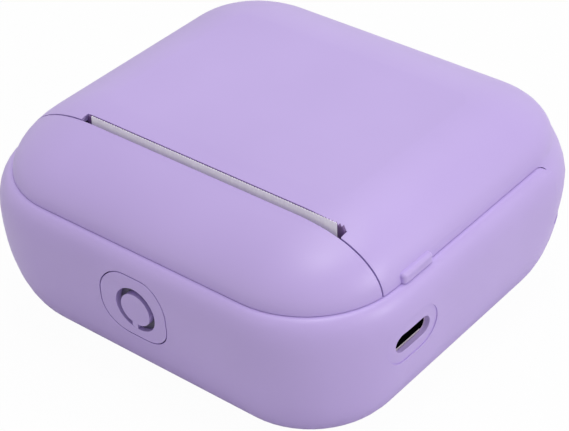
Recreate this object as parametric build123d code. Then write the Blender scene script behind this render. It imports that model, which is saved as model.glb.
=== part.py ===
# Portable thermal printer: case, hinged lid with the platen, spring-loaded print head, gear train,
# paper roll, board and battery. Millimetres, +Z up, origin on the standing plane under the middle of
# the case. The front (button) faces -Y, the port faces +X and the lid hinges at the rear.
import os
from math import acos, asin, atan2, cos, degrees, hypot, pi, radians, sin, sqrt

from build123d import *

# Outer form
case_width = 83.0
case_depth = 79.8
body_height = 36.4
dome_height = 9.6
front_corner = 19.9
rear_corner_high = 19.0
rear_corner_low = 20.6
rear_taper_high = 20.5
rear_taper_low = 12.0
foot_proud = 0.6
base_round_width = 8.7
rim_inset = 2.9
rim_height = 6.0
side_band = 1.2
dome_side = 14.1
dome_front = 22.1
dome_rear = 20.6
dome_power = 1.88
rear_dome_drop = 4.0
least_corner = 1.0

# How finely curves are drawn
corner_chords = 10
inner_chords = 6
base_bands = 5
rim_bands = 3
dome_bands = 6
inner_bands = 4
small_sides = 8
fine_sides = 16
drum_sides = 28

# Walls and gaps
wall = 2.0
floor_wall = 2.2
lid_wall = 1.8
seam_gap = 0.15
part_gap = 0.3
running_gap = 0.05
bush_gap = 0.12
overlap = 0.5
beyond = 1.0

# Split between nose, lid and case
nose_depth = 17.05
skirt_depth = 15.5
skirt_corner = 4.0
skirt_low_corner = 3.0
skirt_rear_rise = 2.0
slot_margin_left = 1.8
slot_margin_right = 1.3
slot_depth = 1.9
lip_drop = 1.6
lip_rise = 0.6
lip_gap = 0.4
lip_wall = 1.2
slot_rib = 1.4
slot_rib_drop = 4.0

# Hinge
hinge_inset = 4.1
hinge_height = 9.8
barrel_radius = 2.9
barrel_half = 16.0
barrel_web_top = 15.0
hinge_ear = 4.0
hinge_pin_radius = 1.0

# Paper and the room beside it for the gears and the port
gear_side_room = 18.4
port_side_room = 11.6
paper_thickness = 0.1
paper_proud = 0.35
roll_slack = 2.9
core_wall = 1.5
core_share = 0.46

# Platen and head
platen_radius = 4.5
platen_shaft_radius = 1.5
platen_behind_split = 5.35
platen_below_seam = 2.3
platen_margin = 0.4
bush_radius = 2.5
bush_proud = 0.3
head_gap = 0.15
head_board_above = 6.0
head_board_below = 3.0
head_board_thickness = 1.0
glaze_radius = 0.5
glaze_proud = 0.08
heat_sink_thickness = 1.5
heat_sink_above = 6.7
fin_count = 7
fin_pitch = 6.6
fin_slot = 3.0
fin_height = 2.0
fin_depth = 0.7
head_pin_radius = 0.75
head_pin_drop = 5.1
head_lug_radius = 1.5
head_lug_length = 5.2
head_side_gap = 0.8

# Head frame and its spring
frame_wall = 0.8
frame_reach = 11.7
frame_above = 3.7
frame_below = 6.6
frame_corner = 4.0
frame_foot = 3.2
ear_front = 5.3
ear_rear = 5.1
ear_foot = 1.4
ear_low_rise = 2.7
frame_screw_back = 3.5
frame_screw_drop = 2.1
frame_head_left = 0.8
frame_head_right = 0.5
notch_flare = 8.0
lightening_length = 16.0
lightening_height = 5.5
lightening_inset = 4.1
spring_thickness = 0.3
spring_height = 2.0
spring_inset = 5.1
spring_drop = 0.5
tongue_width = 6.0
tongue_inset = 7.1
tongue_rise = 2.9
tongue_bow = 1.2

# Platen carrier
carrier_gap = 0.8
carrier_plate = 1.2
carrier_front_gap = 1.65
carrier_behind = 10.1
carrier_wall_drop = 4.2
carrier_wall = 1.2
carrier_screw_behind = 6.9
carrier_screw_inset = 7.1
lid_post_radius = 2.2
arm_wall = 1.4
arm_radius = 4.0
arm_foot = 6.0
arm_gap_left = 1.6
arm_gap_right = 0.6
tear_pitch = 1.0
tear_height = 0.7
tear_drop = 0.5
tear_blade = 0.5
tear_side_gap = 0.3

# Trough and cheeks
trough_wall = 1.2
trough_lift = 0.6
trough_front_gap = 8.3
trough_rear_gap = 3.8
trough_edge = 2.0
cheek_wall = 1.5
cheek_drop = 0.8
cheek_front = 4.1
cheek_lift = 0.4
guide_gap = 0.6
guide_from = 0.42
guide_to = 0.86
rail_bottom = 6.2
rail_height = 1.8
rail_width = 2.4
rail_rear_gap = 5.0
post_radius = 2.4
rear_post_top = 12.0
sensor_inset = 14.5
sensor_width = 3.6
sensor_length = 2.8

# Gears
gear_module = 0.5
pressure_angle = 20.0
addendum = 0.95
dedendum = 1.2
tooth_share = 0.96
gear_width = 1.2
gear_plane_gap = 0.2
gear_plate_room = 10.3
pinion_teeth = 12
compound_large_teeth = 30
compound_small_teeth = 12
idler_teeth = 18
platen_teeth = 16
mesh_gap = 0.06
gear_axle_radius = 0.75
compound_rise = 11.7
motor_rise = 9.16
gear_plate_thickness = 0.8
plate_boss = 2.4
plate_post_distance = 9.8
plate_post_front = 7.6
front_post_bearing = -138.0
low_post_bearing = -38.0
high_post_bearing = 62.0

# Motor
motor_radius = 7.0
motor_shaft_radius = 0.5
motor_boss_radius = 2.2
pinion_hub_radius = 1.6

# Board, battery and port
board_thickness = 1.0
board_drop = 1.5
board_front_gap = 4.9
board_rear_gap = 1.1
board_side_gap = 1.2
board_cheek_gap = 0.9
board_left_gap = 11.5
board_corner = 6.0
board_head_height = 1.0
board_screw_length = 3.4
port_wing = 5.5
chip_places = (-5.0, 12.0, 20.0)
chip_size = 5.0
chip_height = 0.9
shield_inset = 1.8
shield_width = 12.0
shield_depth = 5.0
shield_height = 1.4
shield_corner = 0.5
connector_width = 16.0
connector_depth = 3.0
connector_height = 1.2
plug_x = -17.0
plug_width = 6.0
plug_depth = 3.4
plug_height = 3.2
plug_inset = 1.2
port_width = 9.2
port_height = 3.5
port_behind = 21.2
port_rise = 1.7
port_depth = 1.2
port_ring_width = 12.4
port_ring_height = 7.8
port_ring_depth = 0.12
socket_width = 8.94
socket_height = 3.26
socket_length = 7.0
socket_wall = 0.3
socket_tongue_half = 3.3
socket_tongue_thickness = 0.7
battery_length = 44.0
battery_depth = 19.0
battery_height = 9.0
battery_front_gap = 7.3
battery_round = 2.4

# Button
button_x = 1.0
button_rise = 1.1
plate_width = 14.7
plate_height = 12.9
plate_corner = 5.2
plate_flange = 1.4
plate_flange_back = 3.4
plate_flange_wall = 0.7
plate_flange_corner = 3.9
button_wall = 1.4
button_stem_radius = 1.0
button_stem_back = 4.4
ring_outer = 4.05
ring_inner = 3.3
ring_gap = 0.12
ring_sink = 1.0
ring_depth = 1.8
bridge_width = 1.2
bridge_angle = -100.0
film_groove = 0.35
switch_width = 4.4
switch_depth = 2.4
switch_height = 3.2
plunger_radius = 0.6
plunger_length = 1.4
plunger_seat = 0.3
plunger_travel = 0.6
plunger_room = 0.2

# Feet and screws
foot_radius = 3.75
foot_thickness = 1.8
foot_inset_x = 15.5
foot_inset_y = 14.9
screw_radius = 1.0
screw_bite = 0.2
screw_head_radius = 1.9
screw_head_height = 1.2
small_head_radius = 1.5
glue_gap = 0.02
base_post_radius = 3.0
base_post_top = 6.0
base_screw_length = 8.5

# Lift tab
tab_length = 7.8
tab_height = 2.0
tab_proud = 1.5
tab_behind = 25.5
tab_corner = 0.9
tab_edge = 0.4

# Values that follow from the sizes above
half_width = case_width / 2
half_depth = case_depth / 2
seam_height = body_height - dome_height
base_round_height = seam_height - rim_height - side_band
rear_dome_base = seam_height - rear_dome_drop
ceiling = body_height - lid_wall
nose_split = nose_depth - half_depth
skirt_split = half_depth - skirt_depth
hinge_y = half_depth - hinge_inset
foot_x = half_width - foot_inset_x
foot_y = half_depth - foot_inset_y
paper_left = gear_side_room - half_width
paper_right = half_width - port_side_room
paper_width = paper_right - paper_left
paper_centre = (paper_left + paper_right) / 2
slot_left = paper_left - slot_margin_left
slot_right = paper_right + slot_margin_right
platen_y = nose_split + platen_behind_split
platen_z = seam_height - platen_below_seam
platen_nip_y = platen_y - platen_radius - running_gap - paper_thickness
bay_left = paper_left - platen_margin - part_gap
bay_right = paper_right + platen_margin + part_gap
cheek_left = bay_left - cheek_wall
cheek_right = bay_right + cheek_wall
cheek_top = seam_height - cheek_drop
frame_left = cheek_left - frame_wall
frame_right = cheek_right + frame_wall
frame_front = platen_y - frame_reach
frame_bottom = platen_z - frame_below
frame_top = platen_z + frame_above
frame_screw_y = platen_y + frame_screw_back
frame_screw_z = platen_z - frame_screw_drop
arm_left = frame_left - arm_gap_left
arm_right = frame_right + arm_gap_right
carrier_bottom = platen_z + platen_radius + carrier_gap
carrier_top = carrier_bottom + carrier_plate
carrier_front = nose_split + carrier_front_gap
carrier_wall_top = body_height - carrier_wall_drop
carrier_screw_y = platen_y + carrier_screw_behind
head_back = platen_nip_y - head_gap - head_board_thickness
head_pin_y = head_back - heat_sink_thickness / 2
head_pin_z = platen_z - head_pin_drop
gear_plate_x = paper_left - gear_plate_room
plane_a = gear_plate_x - gear_plane_gap - gear_width
plane_b = plane_a - gear_plane_gap - gear_width
motor_front = gear_plate_x + gear_plate_thickness
motor_back = cheek_left - part_gap
board_top = frame_bottom - board_drop
board_front = board_front_gap - half_depth
board_rear = platen_y - board_rear_gap
port_y = port_behind - half_depth
port_z = board_top + port_rise
button_z = board_top + button_rise
switch_front = button_stem_back + plunger_length - plunger_seat - half_depth
film_z = button_z + (ring_inner + ring_outer) / 2 * sin(radians(bridge_angle))
screw_shank = screw_radius - screw_bite
screw_seat = foot_thickness - foot_proud

# The roll fills what the platen, the rear posts and the lid leave free
trough_base = floor_wall + trough_lift + trough_wall
depth_room = foot_y - trough_rear_gap - platen_y - trough_front_gap
height_room = ceiling - trough_base
trough_radius = min(depth_room, height_room) / 2
trough_y = platen_y + trough_front_gap + trough_radius
trough_z = trough_base + trough_radius
trough_outer = trough_radius + trough_wall
roll_radius = trough_radius - part_gap - roll_slack
roll_z = trough_z - trough_radius + part_gap + roll_radius
core_radius = core_share * roll_radius
core_bore = core_radius - core_wall


def half_ellipse(value, span, reach):
    """How far an elliptical rounding has come in where value of its span is left."""
    share = min(1.0, max(0.0, value / span))
    return reach * (1 - sqrt(1 - share**2))


def dome_share(height, base):
    """Inset of the dome, as a share of its full reach, at a height above its base."""
    share = min(1.0, max(0.0, (height - base) / (body_height - base)))
    return 1 - (1 - share**dome_power) ** (1 / dome_power)


def base_inset(height):
    return half_ellipse(base_round_height - height, base_round_height, base_round_width)


def rim_inset_at(height):
    return half_ellipse(height - (seam_height - rim_height), rim_height, rim_inset)


def rear_corner_at(height):
    """The rear corners are rounder low down than under the lid."""
    share = min(1.0, max(0.0, (height - rear_taper_low) / (rear_taper_high - rear_taper_low)))
    return rear_corner_low + share * (rear_corner_high - rear_corner_low)


def corner_points(centre_x, centre_y, radius, start, chords):
    """A quarter turn round a corner's centre, as the ends of equal chords."""
    turns = [radians(start + 90 * step / chords) for step in range(chords + 1)]
    return [(centre_x + radius * cos(turn), centre_y + radius * sin(turn)) for turn in turns]


def plan_face(side, front, rear, height, skin, chords):
    """Plan section with rounded corners, inset from the sides, front and rear, less a skin."""
    half = half_width - side - skin
    low = front + skin - half_depth
    high = half_depth - rear - skin
    front_radius = max(front_corner - min(side, front) - skin, least_corner)
    rear_radius = max(rear_corner_at(height) - min(side, rear) - skin, least_corner)
    points = corner_points(half - front_radius, low + front_radius, front_radius, -90, chords)
    points += corner_points(half - rear_radius, high - rear_radius, rear_radius, 0, chords)
    points += corner_points(rear_radius - half, high - rear_radius, rear_radius, 90, chords)
    points += corner_points(front_radius - half, low + front_radius, front_radius, 180, chords)
    return Pos(0, 0, height) * make_face(Polyline(points, close=True))


def case_face(height, skin, chords):
    inset = base_inset(height) + rim_inset_at(height)
    return plan_face(inset, inset, base_inset(height), height, skin, chords)


def dome_face(height, skin, chords):
    share = dome_share(height, seam_height)
    side = rim_inset + dome_side * share
    front = rim_inset + dome_front * share
    rear = dome_rear * dome_share(height, rear_dome_base)
    return plan_face(side, front, rear, height, skin, chords)


def skirt_face(height, skin, chords):
    share = max(0.0, (height - base_round_height) / (seam_height - base_round_height))
    side = base_inset(height) + rim_inset * share**2
    rear = base_inset(height) + dome_rear * dome_share(height, rear_dome_base)
    return plan_face(side, side, rear, height, skin, chords)


def stack(section, heights, skin=0.0, chords=corner_chords):
    """Loft through sections. Each patch between two chords is flat, so it is drawn as a plane."""
    blank = loft([section(height, skin, chords) for height in heights], ruled=True)
    return Solid(Shell([Face(patch.outer_wire()) for patch in blank.faces()]))


def even_steps(low, high, count):
    return [low + (high - low) * step / count for step in range(count + 1)]


def turn_steps(count):
    """Angles that step evenly through a quarter turn."""
    return even_steps(0, pi / 2, count)


def dome_heights(count, top):
    """Heights that step evenly round the dome's curve, up to its top."""
    return [seam_height + (top - seam_height) * sin(turn) ** (2 / dome_power) for turn in turn_steps(count)]


def base_heights(count, low):
    """Heights that step evenly round the base's curve, from its low end."""
    return [low + (base_round_height - low) * (1 - cos(turn)) for turn in turn_steps(count)]


def box_between(low, high):
    size = [b - a for a, b in zip(low, high)]
    middle = [(a + b) / 2 for a, b in zip(low, high)]
    return Pos(*middle) * Box(*size)


def rod_x(x_from, x_to, y, z, radius):
    return Pos((x_from + x_to) / 2, y, z) * Rot(0, 90, 0) * Cylinder(radius, x_to - x_from)


def prism_x(x_from, x_to, y, z, radius, sides=small_sides):
    """Round part along X, drawn with flats inside its radius."""
    return Pos(x_from, y, z) * extrude(Plane.YZ * RegularPolygon(radius, sides), x_to - x_from)


def bore_x(x_from, x_to, y, z, radius, sides=fine_sides):
    """Hole along X whose flats stay clear of a round part of this radius."""
    return prism_x(x_from, x_to, y, z, radius / cos(pi / sides), sides)


def peg_z(x, y, z_from, z_to, radius, sides=small_sides):
    return Pos(x, y, z_from) * extrude(RegularPolygon(radius, sides), z_to - z_from)


def side_profile(points, x_from, x_to):
    """Extrude an outline of (y, z) points from one x to another."""
    outline = make_face(Polyline([(x_from, y, z) for y, z in points], close=True))
    return extrude(outline, x_to - x_from, dir=(1, 0, 0))


def polar(centre, bearing, distance):
    """Point (y, z) at a bearing in degrees, counted from +Y towards +Z."""
    y = centre[0] + distance * cos(radians(bearing))
    z = centre[1] + distance * sin(radians(bearing))
    return y, z


def pitch_radius(teeth):
    return gear_module * teeth / 2


def mesh_distance(teeth_a, teeth_b):
    return pitch_radius(teeth_a) + pitch_radius(teeth_b) + mesh_gap


def lid_lift_bearing():
    """Direction in which the platen leaves the frame as the lid starts to open."""
    return degrees(atan2(hinge_y - platen_y, platen_z - hinge_height))


def mesh_at_height(centre, height, distance):
    """Centre of a meshing gear behind another one, at a set height."""
    bearing = degrees(asin((height - centre[1]) / distance))
    return polar(centre, bearing, distance)


def gear_centres():
    """Centres (y, z) of the platen, idler, compound gear and motor."""
    platen = (platen_y, platen_z)
    idler = polar(platen, lid_lift_bearing() + 180, mesh_distance(platen_teeth, idler_teeth))
    compound = mesh_at_height(
        idler, floor_wall + compound_rise, mesh_distance(idler_teeth, compound_small_teeth)
    )
    motor = mesh_at_height(
        compound, floor_wall + motor_rise, mesh_distance(compound_large_teeth, pinion_teeth)
    )
    return platen, idler, compound, motor


def body_blank(skin=0.0):
    rim = [seam_height - rim_height + rim_height * sin(turn) for turn in turn_steps(rim_bands)]
    return stack(case_face, base_heights(base_bands, 0.0) + rim, skin)


def case_hollow():
    heights = base_heights(inner_bands, floor_wall) + [seam_height - lip_drop, seam_height + beyond]
    return stack(case_face, heights, wall, inner_chords)


def skirt_region(gap, rear_low):
    """Side view of the lid's skirt: behind the vertical seam, and clear of a circle round the hinge."""
    clear = barrel_radius + part_gap - gap
    bottom = hinge_height + clear
    front = skirt_split - gap
    outline = Pos(front + half_depth, (bottom + seam_height) / 2) * Rectangle(case_depth, seam_height - bottom)
    low_corner = outline.vertices().sort_by(Axis.Y)[:2].sort_by(Axis.X)[:1]
    outline = fillet(low_corner, skirt_low_corner)
    turn = skirt_corner - gap
    notch = Pos(front - turn / 2, seam_height - turn / 2) * Rectangle(turn, turn)
    notch -= Pos(front - turn, seam_height - turn) * Circle(turn)
    rear = Pos(hinge_y + half_depth, (rear_low + bottom) / 2) * Rectangle(case_depth, bottom - rear_low)
    rear -= Pos(hinge_y, hinge_height) * Circle(clear)
    return Pos(-case_width, 0, 0) * extrude(Plane.YZ * (outline + notch + rear), 2 * case_width)


def hinge_cove():
    """Room for the lid's barrel in the rear wall, open to the rear and the top."""
    half = barrel_half + part_gap
    round_part = bore_x(-half, half, hinge_y, hinge_height, barrel_radius + part_gap)
    low = (-half, hinge_y, hinge_height - barrel_radius - 2 * part_gap)
    return round_part + box_between(low, (half, case_depth, body_height))


def screw_places():
    return [(x, y) for x in (-foot_x, foot_x) for y in (-foot_y, foot_y)]


def port_outline(width, height, x):
    return Plane.YZ.offset(x) * Pos(port_y, port_z) * SlotOverall(width, height)


def hinge_ears():
    """Two ears on the floor that carry the hinge pin beside the lid's barrel."""
    ears = []
    for side in (-1, 1):
        middle = side * (barrel_half + part_gap + hinge_ear / 2)
        left = middle - hinge_ear / 2
        right = middle + hinge_ear / 2
        ear = prism_x(left, right, hinge_y, hinge_height, barrel_radius, fine_sides)
        low = (left, hinge_y - barrel_radius, floor_wall - overlap)
        ears.append(ear + box_between(low, (right, hinge_y + overlap, hinge_height)))
    return ears


def foot_cuts(x, y):
    """Seat for the foot, recess for the screw's head and hole for its shank."""
    seat = peg_z(x, y, -beyond, screw_seat, foot_radius + running_gap, fine_sides)
    recess = peg_z(x, y, 0, screw_seat + screw_head_height, screw_head_radius + screw_bite)
    return seat + recess + peg_z(x, y, 0, base_post_top + beyond, screw_radius)


def port_ring():
    """Shallow ring round the port, as deep all over on the curved wall."""
    sheet = port_outline(port_ring_width, port_ring_height, half_width - wall / 2)
    return extrude(sheet, wall) - body_blank(port_ring_depth)


def lower_case():
    shell = case_blank - case_hollow() - skirt_region(seam_gap, hinge_height)
    for x, y in screw_places():
        shell += peg_z(x, y, floor_wall - overlap, base_post_top, base_post_radius)
    for ear in hinge_ears():
        shell += ear & case_blank
    shell -= hinge_cove()
    pin_end = barrel_half + hinge_ear
    shell -= bore_x(-pin_end, pin_end, hinge_y, hinge_height, hinge_pin_radius)
    for x, y in screw_places():
        shell -= foot_cuts(x, y)
    shell -= extrude(port_outline(port_width, port_height, half_width - 2 * wall), 2 * wall + beyond)
    shell -= port_ring()
    return shell - extrude(plate_sketch(seam_gap, -half_depth - beyond), 2 * beyond + wall, dir=(0, 1, 0))


def facing_front(y):
    """Plane across the button's axis, seen from the front."""
    return Plane((button_x, y, button_z), x_dir=(1, 0, 0), z_dir=(0, -1, 0))


def plate_sketch(gap, y):
    sheet = RectangleRounded(plate_width + 2 * gap, plate_height + 2 * gap, plate_corner + gap)
    return facing_front(y) * sheet


def button_disc(radius, y, length):
    return extrude(facing_front(y) * Circle(radius), length, dir=(0, 1, 0))


def bridge_box(inner, outer, width, depth):
    """The living hinge's tongue across the ring slot, from one radius to another."""
    tongue = Pos((inner + outer) / 2, 0, 0) * Box(outer - inner, depth, width)
    turned = Rot(0, -bridge_angle, 0) * tongue
    return Pos(button_x, depth / 2 - half_depth, button_z) * turned


def button_plate():
    """Rounded-square plate, flush with the curved front wall, with a flange behind the wall."""
    plate = extrude(plate_sketch(0, -half_depth), plate_flange_back, dir=(0, 1, 0)) & case_blank
    rim = Rectangle(plate_width + 2 * plate_flange, plate_height + 2 * plate_flange)
    rim = chamfer(rim.vertices(), plate_flange_corner)
    flange = extrude(facing_front(plate_flange_back - half_depth) * rim, plate_flange_wall, dir=(0, 1, 0))
    return plate + flange - button_disc(ring_outer, -half_depth - beyond, 2 * beyond + wall + plate_flange_back)


def power_button():
    disc = button_disc(ring_inner, -half_depth, button_wall)
    disc += bridge_box(ring_inner - part_gap, ring_outer - ring_gap / 2, bridge_width, button_wall)
    disc = disc & case_blank
    film_y = button_wall - half_depth
    disc -= rod_x(button_x - ring_outer, button_x + ring_outer, film_y, film_z, film_groove)
    stem = facing_front(film_y - overlap) * RegularPolygon(button_stem_radius, small_sides)
    return disc + extrude(stem, button_stem_back - button_wall + overlap, dir=(0, 1, 0))


def light_ring():
    front = ring_sink - half_depth
    ring = button_disc(ring_outer - ring_gap / 2, front, ring_depth)
    ring -= button_disc(ring_inner + ring_gap, front - beyond, ring_depth + 2 * beyond)
    gap = bridge_width + 2 * part_gap
    return ring - bridge_box(ring_inner - beyond, ring_outer + beyond, gap, 2 * plate_flange_back)


def tact_switch():
    """Board switch with a slot in its front for the plunger."""
    half = switch_width / 2
    low = (button_x - half, switch_front, board_top)
    body = box_between(low, (button_x + half, switch_front + switch_depth, board_top + switch_height))
    slot_half = plunger_radius + plunger_room
    slot_low = (button_x - slot_half, switch_front - beyond, board_top - beyond)
    slot_high = (button_x + slot_half, switch_front + plunger_seat + plunger_travel, button_z + slot_half)
    return body - box_between(slot_low, slot_high)


def switch_plunger():
    outline = facing_front(button_stem_back - half_depth) * RegularPolygon(plunger_radius, small_sides)
    return extrude(outline, plunger_length, dir=(0, 1, 0))


def dome_blank():
    return stack(dome_face, dome_heights(dome_bands, body_height))


def dome_hollow():
    heights = [seam_height - overlap] + dome_heights(inner_bands - 1, ceiling)[1:]
    return stack(dome_face, heights, lid_wall, inner_chords)


def nose_cap():
    """Fixed cover in front of the slot, with a locating lip inside the case's rim."""
    dome = dome_blank()
    front = box_between((-case_width, -case_depth, seam_height), (case_width, nose_split, body_height + beyond))
    cap = (dome - dome_hollow()) & front
    skin = lid_wall - lip_gap
    lip = stack(dome_face, [seam_height - lip_drop, seam_height + lip_rise], skin, inner_chords)
    lip -= stack(dome_face, [seam_height - 2 * lip_drop, seam_height + beyond], skin + lip_wall, inner_chords)
    lip &= box_between((-case_width, -case_depth, 0), (case_width, nose_split - beyond, body_height))
    rib_low = (slot_left, nose_split - slot_rib, body_height - slot_rib_drop)
    rib = box_between(rib_low, (slot_right, nose_split, body_height))
    return cap + lip + (rib & dome)


def skirt_shell():
    """The lid's rear wall and corners, from the rear seam up to the dome."""
    bottom = hinge_height + skirt_rear_rise
    upper = (rear_dome_base + seam_height) / 2
    outer = stack(skirt_face, even_steps(bottom, rear_dome_base, base_bands) + [upper, seam_height])
    middle = (bottom + rear_dome_base) / 2
    inner_heights = [bottom - overlap, middle, rear_dome_base, seam_height + overlap]
    inner = stack(skirt_face, inner_heights, lid_wall, inner_chords)
    return (outer - inner) & skirt_region(0, bottom)


def barrel_web():
    """Wall between the hinge barrel and the lid's rear wall."""
    rear = half_depth - base_inset(barrel_web_top)
    back = hinge_y + barrel_radius
    points = [(back - lid_wall, hinge_height), (back, hinge_height), (rear, barrel_web_top),
              (rear - lid_wall, barrel_web_top)]
    return side_profile(points, -barrel_half, barrel_half)


def lid_shell():
    low = (-case_width, nose_split + seam_gap, seam_height)
    shell = (dome_blank() - dome_hollow()) & box_between(low, (case_width, case_depth, body_height + beyond))
    shell += skirt_shell()
    slot_low = (slot_left, nose_split - beyond, seam_height)
    shell -= box_between(slot_low, (slot_right, nose_split + slot_depth, body_height + beyond))
    shell += rod_x(-barrel_half, barrel_half, hinge_y, hinge_height, barrel_radius) + barrel_web()
    shell -= bore_x(-case_width, case_width, hinge_y, hinge_height, hinge_pin_radius + running_gap)
    for x in carrier_screw_x():
        shell += peg_z(x, carrier_screw_y, carrier_top, ceiling + overlap, lid_post_radius)
    for x in carrier_screw_x():
        shell -= peg_z(x, carrier_screw_y, 0, ceiling - overlap, screw_shank)
    return shell + lift_tab()


def lift_tab():
    tab = Box(2 * tab_proud, tab_length, tab_height)
    place = Pos(half_width - rim_inset, tab_behind - half_depth, seam_height + tab_height / 2 + seam_gap)
    tab = place * chamfer(tab.edges().filter_by(Axis.Z).group_by(Axis.X)[-1], tab_corner)
    return chamfer(tab.faces().sort_by(Axis.X)[-1].edges(), tab_edge)


def hinge_pin():
    end = barrel_half + hinge_ear - part_gap
    return prism_x(-end, end, hinge_y, hinge_height, hinge_pin_radius)


def carrier_screw_x():
    return [paper_left + carrier_screw_inset, paper_centre, paper_right - carrier_screw_inset]


def platen_carrier():
    """Plate under the lid's ceiling with two arms that hold the platen's bushes."""
    left = arm_left - arm_wall
    right = arm_right + arm_wall
    rear = platen_y + carrier_behind
    beam = box_between((left, carrier_front, carrier_bottom), (right, rear, carrier_top))
    for x in (left, arm_right):
        beam += prism_x(x, x + arm_wall, platen_y, platen_z, arm_radius, fine_sides)
        low = (x, platen_y - arm_radius, platen_z)
        beam += box_between(low, (x + arm_wall, platen_y + arm_foot, carrier_bottom + overlap))
    low = (slot_left + beyond, carrier_front, carrier_bottom)
    beam += box_between(low, (slot_right - beyond, carrier_front + carrier_wall, carrier_wall_top))
    beam -= bore_x(left - beyond, right + beyond, platen_y, platen_z, bush_radius)
    for x in carrier_screw_x():
        beam -= peg_z(x, carrier_screw_y, carrier_bottom - beyond, carrier_top + beyond, screw_radius)
    return beam


def carrier_screws():
    screws = []
    for x in carrier_screw_x():
        head = peg_z(x, carrier_screw_y, carrier_bottom - carrier_gap, carrier_bottom, screw_head_radius)
        screws.append(head + peg_z(x, carrier_screw_y, carrier_bottom, ceiling - 2 * overlap, screw_shank))
    return Compound(screws)


def tear_bar():
    """Serrated strip behind the paper, with one tooth for each step along the slot."""
    foot_z = carrier_wall_top + beyond
    tip_z = body_height - tear_drop
    low = slot_left + tear_side_gap
    count = int((slot_right - tear_side_gap - low) / tear_pitch)
    points = [(low, foot_z)]
    for tooth in range(count):
        start = low + tooth * tear_pitch
        points += [(start, tip_z - tear_height), (start + tear_pitch / 2, tip_z)]
    end = low + count * tear_pitch
    points += [(end, tip_z - tear_height), (end, foot_z)]
    back = nose_split + slot_depth - seam_gap
    outline = make_face(Polyline([(x, back, z) for x, z in points], close=True))
    blade = extrude(outline, tear_blade, dir=(0, -1, 0))
    base_low = (low, back - tear_blade, carrier_wall_top)
    return blade + box_between(base_low, (end, carrier_front + carrier_wall, foot_z))


def platen_shaft():
    end = arm_right + arm_wall + 2 * bush_proud
    return prism_x(plane_a, end, platen_y, platen_z, platen_shaft_radius, fine_sides)


def platen_rubber():
    sleeve = rod_x(bay_left + part_gap, bay_right - part_gap, platen_y, platen_z, platen_radius)
    return sleeve - prism_x(-case_width, case_width, platen_y, platen_z, platen_shaft_radius, fine_sides)


def platen_bushes():
    left = (arm_left - arm_wall - bush_proud, bay_left - part_gap / 2)
    right = (bay_right + part_gap / 2, arm_right + arm_wall + bush_proud)
    bushes = []
    for low, high in (left, right):
        bush = prism_x(low, high, platen_y, platen_z, bush_radius, fine_sides)
        bore = bore_x(low - beyond, high + beyond, platen_y, platen_z, platen_shaft_radius + running_gap)
        bushes.append(bush - bore)
    return Compound(bushes)


def gear_outline(teeth, phase):
    """Spur gear outline with straight-sided teeth that narrow from root to tip."""
    pitch = pitch_radius(teeth)
    root = pitch - dedendum * gear_module
    tip = pitch + addendum * gear_module
    half_pitch = tooth_share * pi / (2 * teeth)
    lean = radians(pressure_angle) * gear_module / pitch
    corners = [(root, -half_pitch - lean), (tip, lean - half_pitch), (tip, half_pitch - lean),
               (root, half_pitch + lean)]
    points = []
    for tooth in range(teeth):
        middle = radians(phase) + 2 * pi * tooth / teeth
        points += [(radius * cos(middle + turn), radius * sin(middle + turn)) for radius, turn in corners]
    return points


def gear_body(teeth, centre, x_from, width, phase):
    outline = make_face(Polyline([(0, *point) for point in gear_outline(teeth, phase)], close=True))
    return Pos(x_from, *centre) * extrude(outline, width, dir=(1, 0, 0))


def bearing_between(start, end):
    return degrees(atan2(end[1] - start[1], end[0] - start[0]))


def mesh_phases():
    """Rotation of each gear that puts its teeth into its neighbour's gaps at rest."""
    platen, idler, compound, motor = gear_centres()
    platen_phase = bearing_between(platen, idler)
    idler_step = 360 / idler_teeth
    idler_phase = bearing_between(idler, platen) + idler_step / 2
    contact = bearing_between(idler, compound)
    share = ((contact - idler_phase) / idler_step) % 1
    small_phase = contact + 180 - (1 / 2 - share) * 360 / compound_small_teeth
    large_phase = bearing_between(compound, motor)
    pinion_phase = large_phase + 180 + 180 / pinion_teeth
    return platen_phase, idler_phase, small_phase, large_phase, pinion_phase


def platen_gear():
    platen = gear_centres()[0]
    gear = gear_body(platen_teeth, platen, plane_a, gear_width, mesh_phases()[0])
    return gear - prism_x(-case_width, case_width, *platen, platen_shaft_radius, fine_sides)


def idler_gear():
    idler = gear_centres()[1]
    gear = gear_body(idler_teeth, idler, plane_a, gear_width, mesh_phases()[1])
    return gear - rod_x(-case_width, 0, *idler, gear_axle_radius + running_gap)


def compound_gear():
    """Large and small gear in one, with the small one reaching over to the first plane."""
    compound = gear_centres()[2]
    phases = mesh_phases()
    step = gear_plane_gap + overlap
    gear = gear_body(compound_small_teeth, compound, plane_a - step, gear_width + step, phases[2])
    gear += gear_body(compound_large_teeth, compound, plane_b, gear_width, phases[3])
    return gear - rod_x(-case_width, 0, *compound, gear_axle_radius + running_gap)


def motor_pinion():
    motor = gear_centres()[3]
    gear = gear_body(pinion_teeth, motor, plane_b, gear_width, mesh_phases()[4])
    gear += prism_x(plane_b, gear_plate_x - gear_plane_gap, *motor, pinion_hub_radius)
    return gear + rod_x(gear_plate_x - beyond, motor_back - 2 * beyond, *motor, motor_shaft_radius)


def gear_axles():
    platen, idler, compound, motor = gear_centres()
    idler_pin = prism_x(plane_a, gear_plate_x, *idler, gear_axle_radius)
    compound_pin = prism_x(plane_b, gear_plate_x, *compound, gear_axle_radius)
    return Compound([idler_pin, compound_pin])


def gear_post_places():
    platen, idler, compound, motor = gear_centres()
    front = polar(idler, front_post_bearing, plate_post_front)
    low = polar(motor, low_post_bearing, plate_post_distance)
    return [front, low, polar(motor, high_post_bearing, plate_post_distance)]


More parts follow.
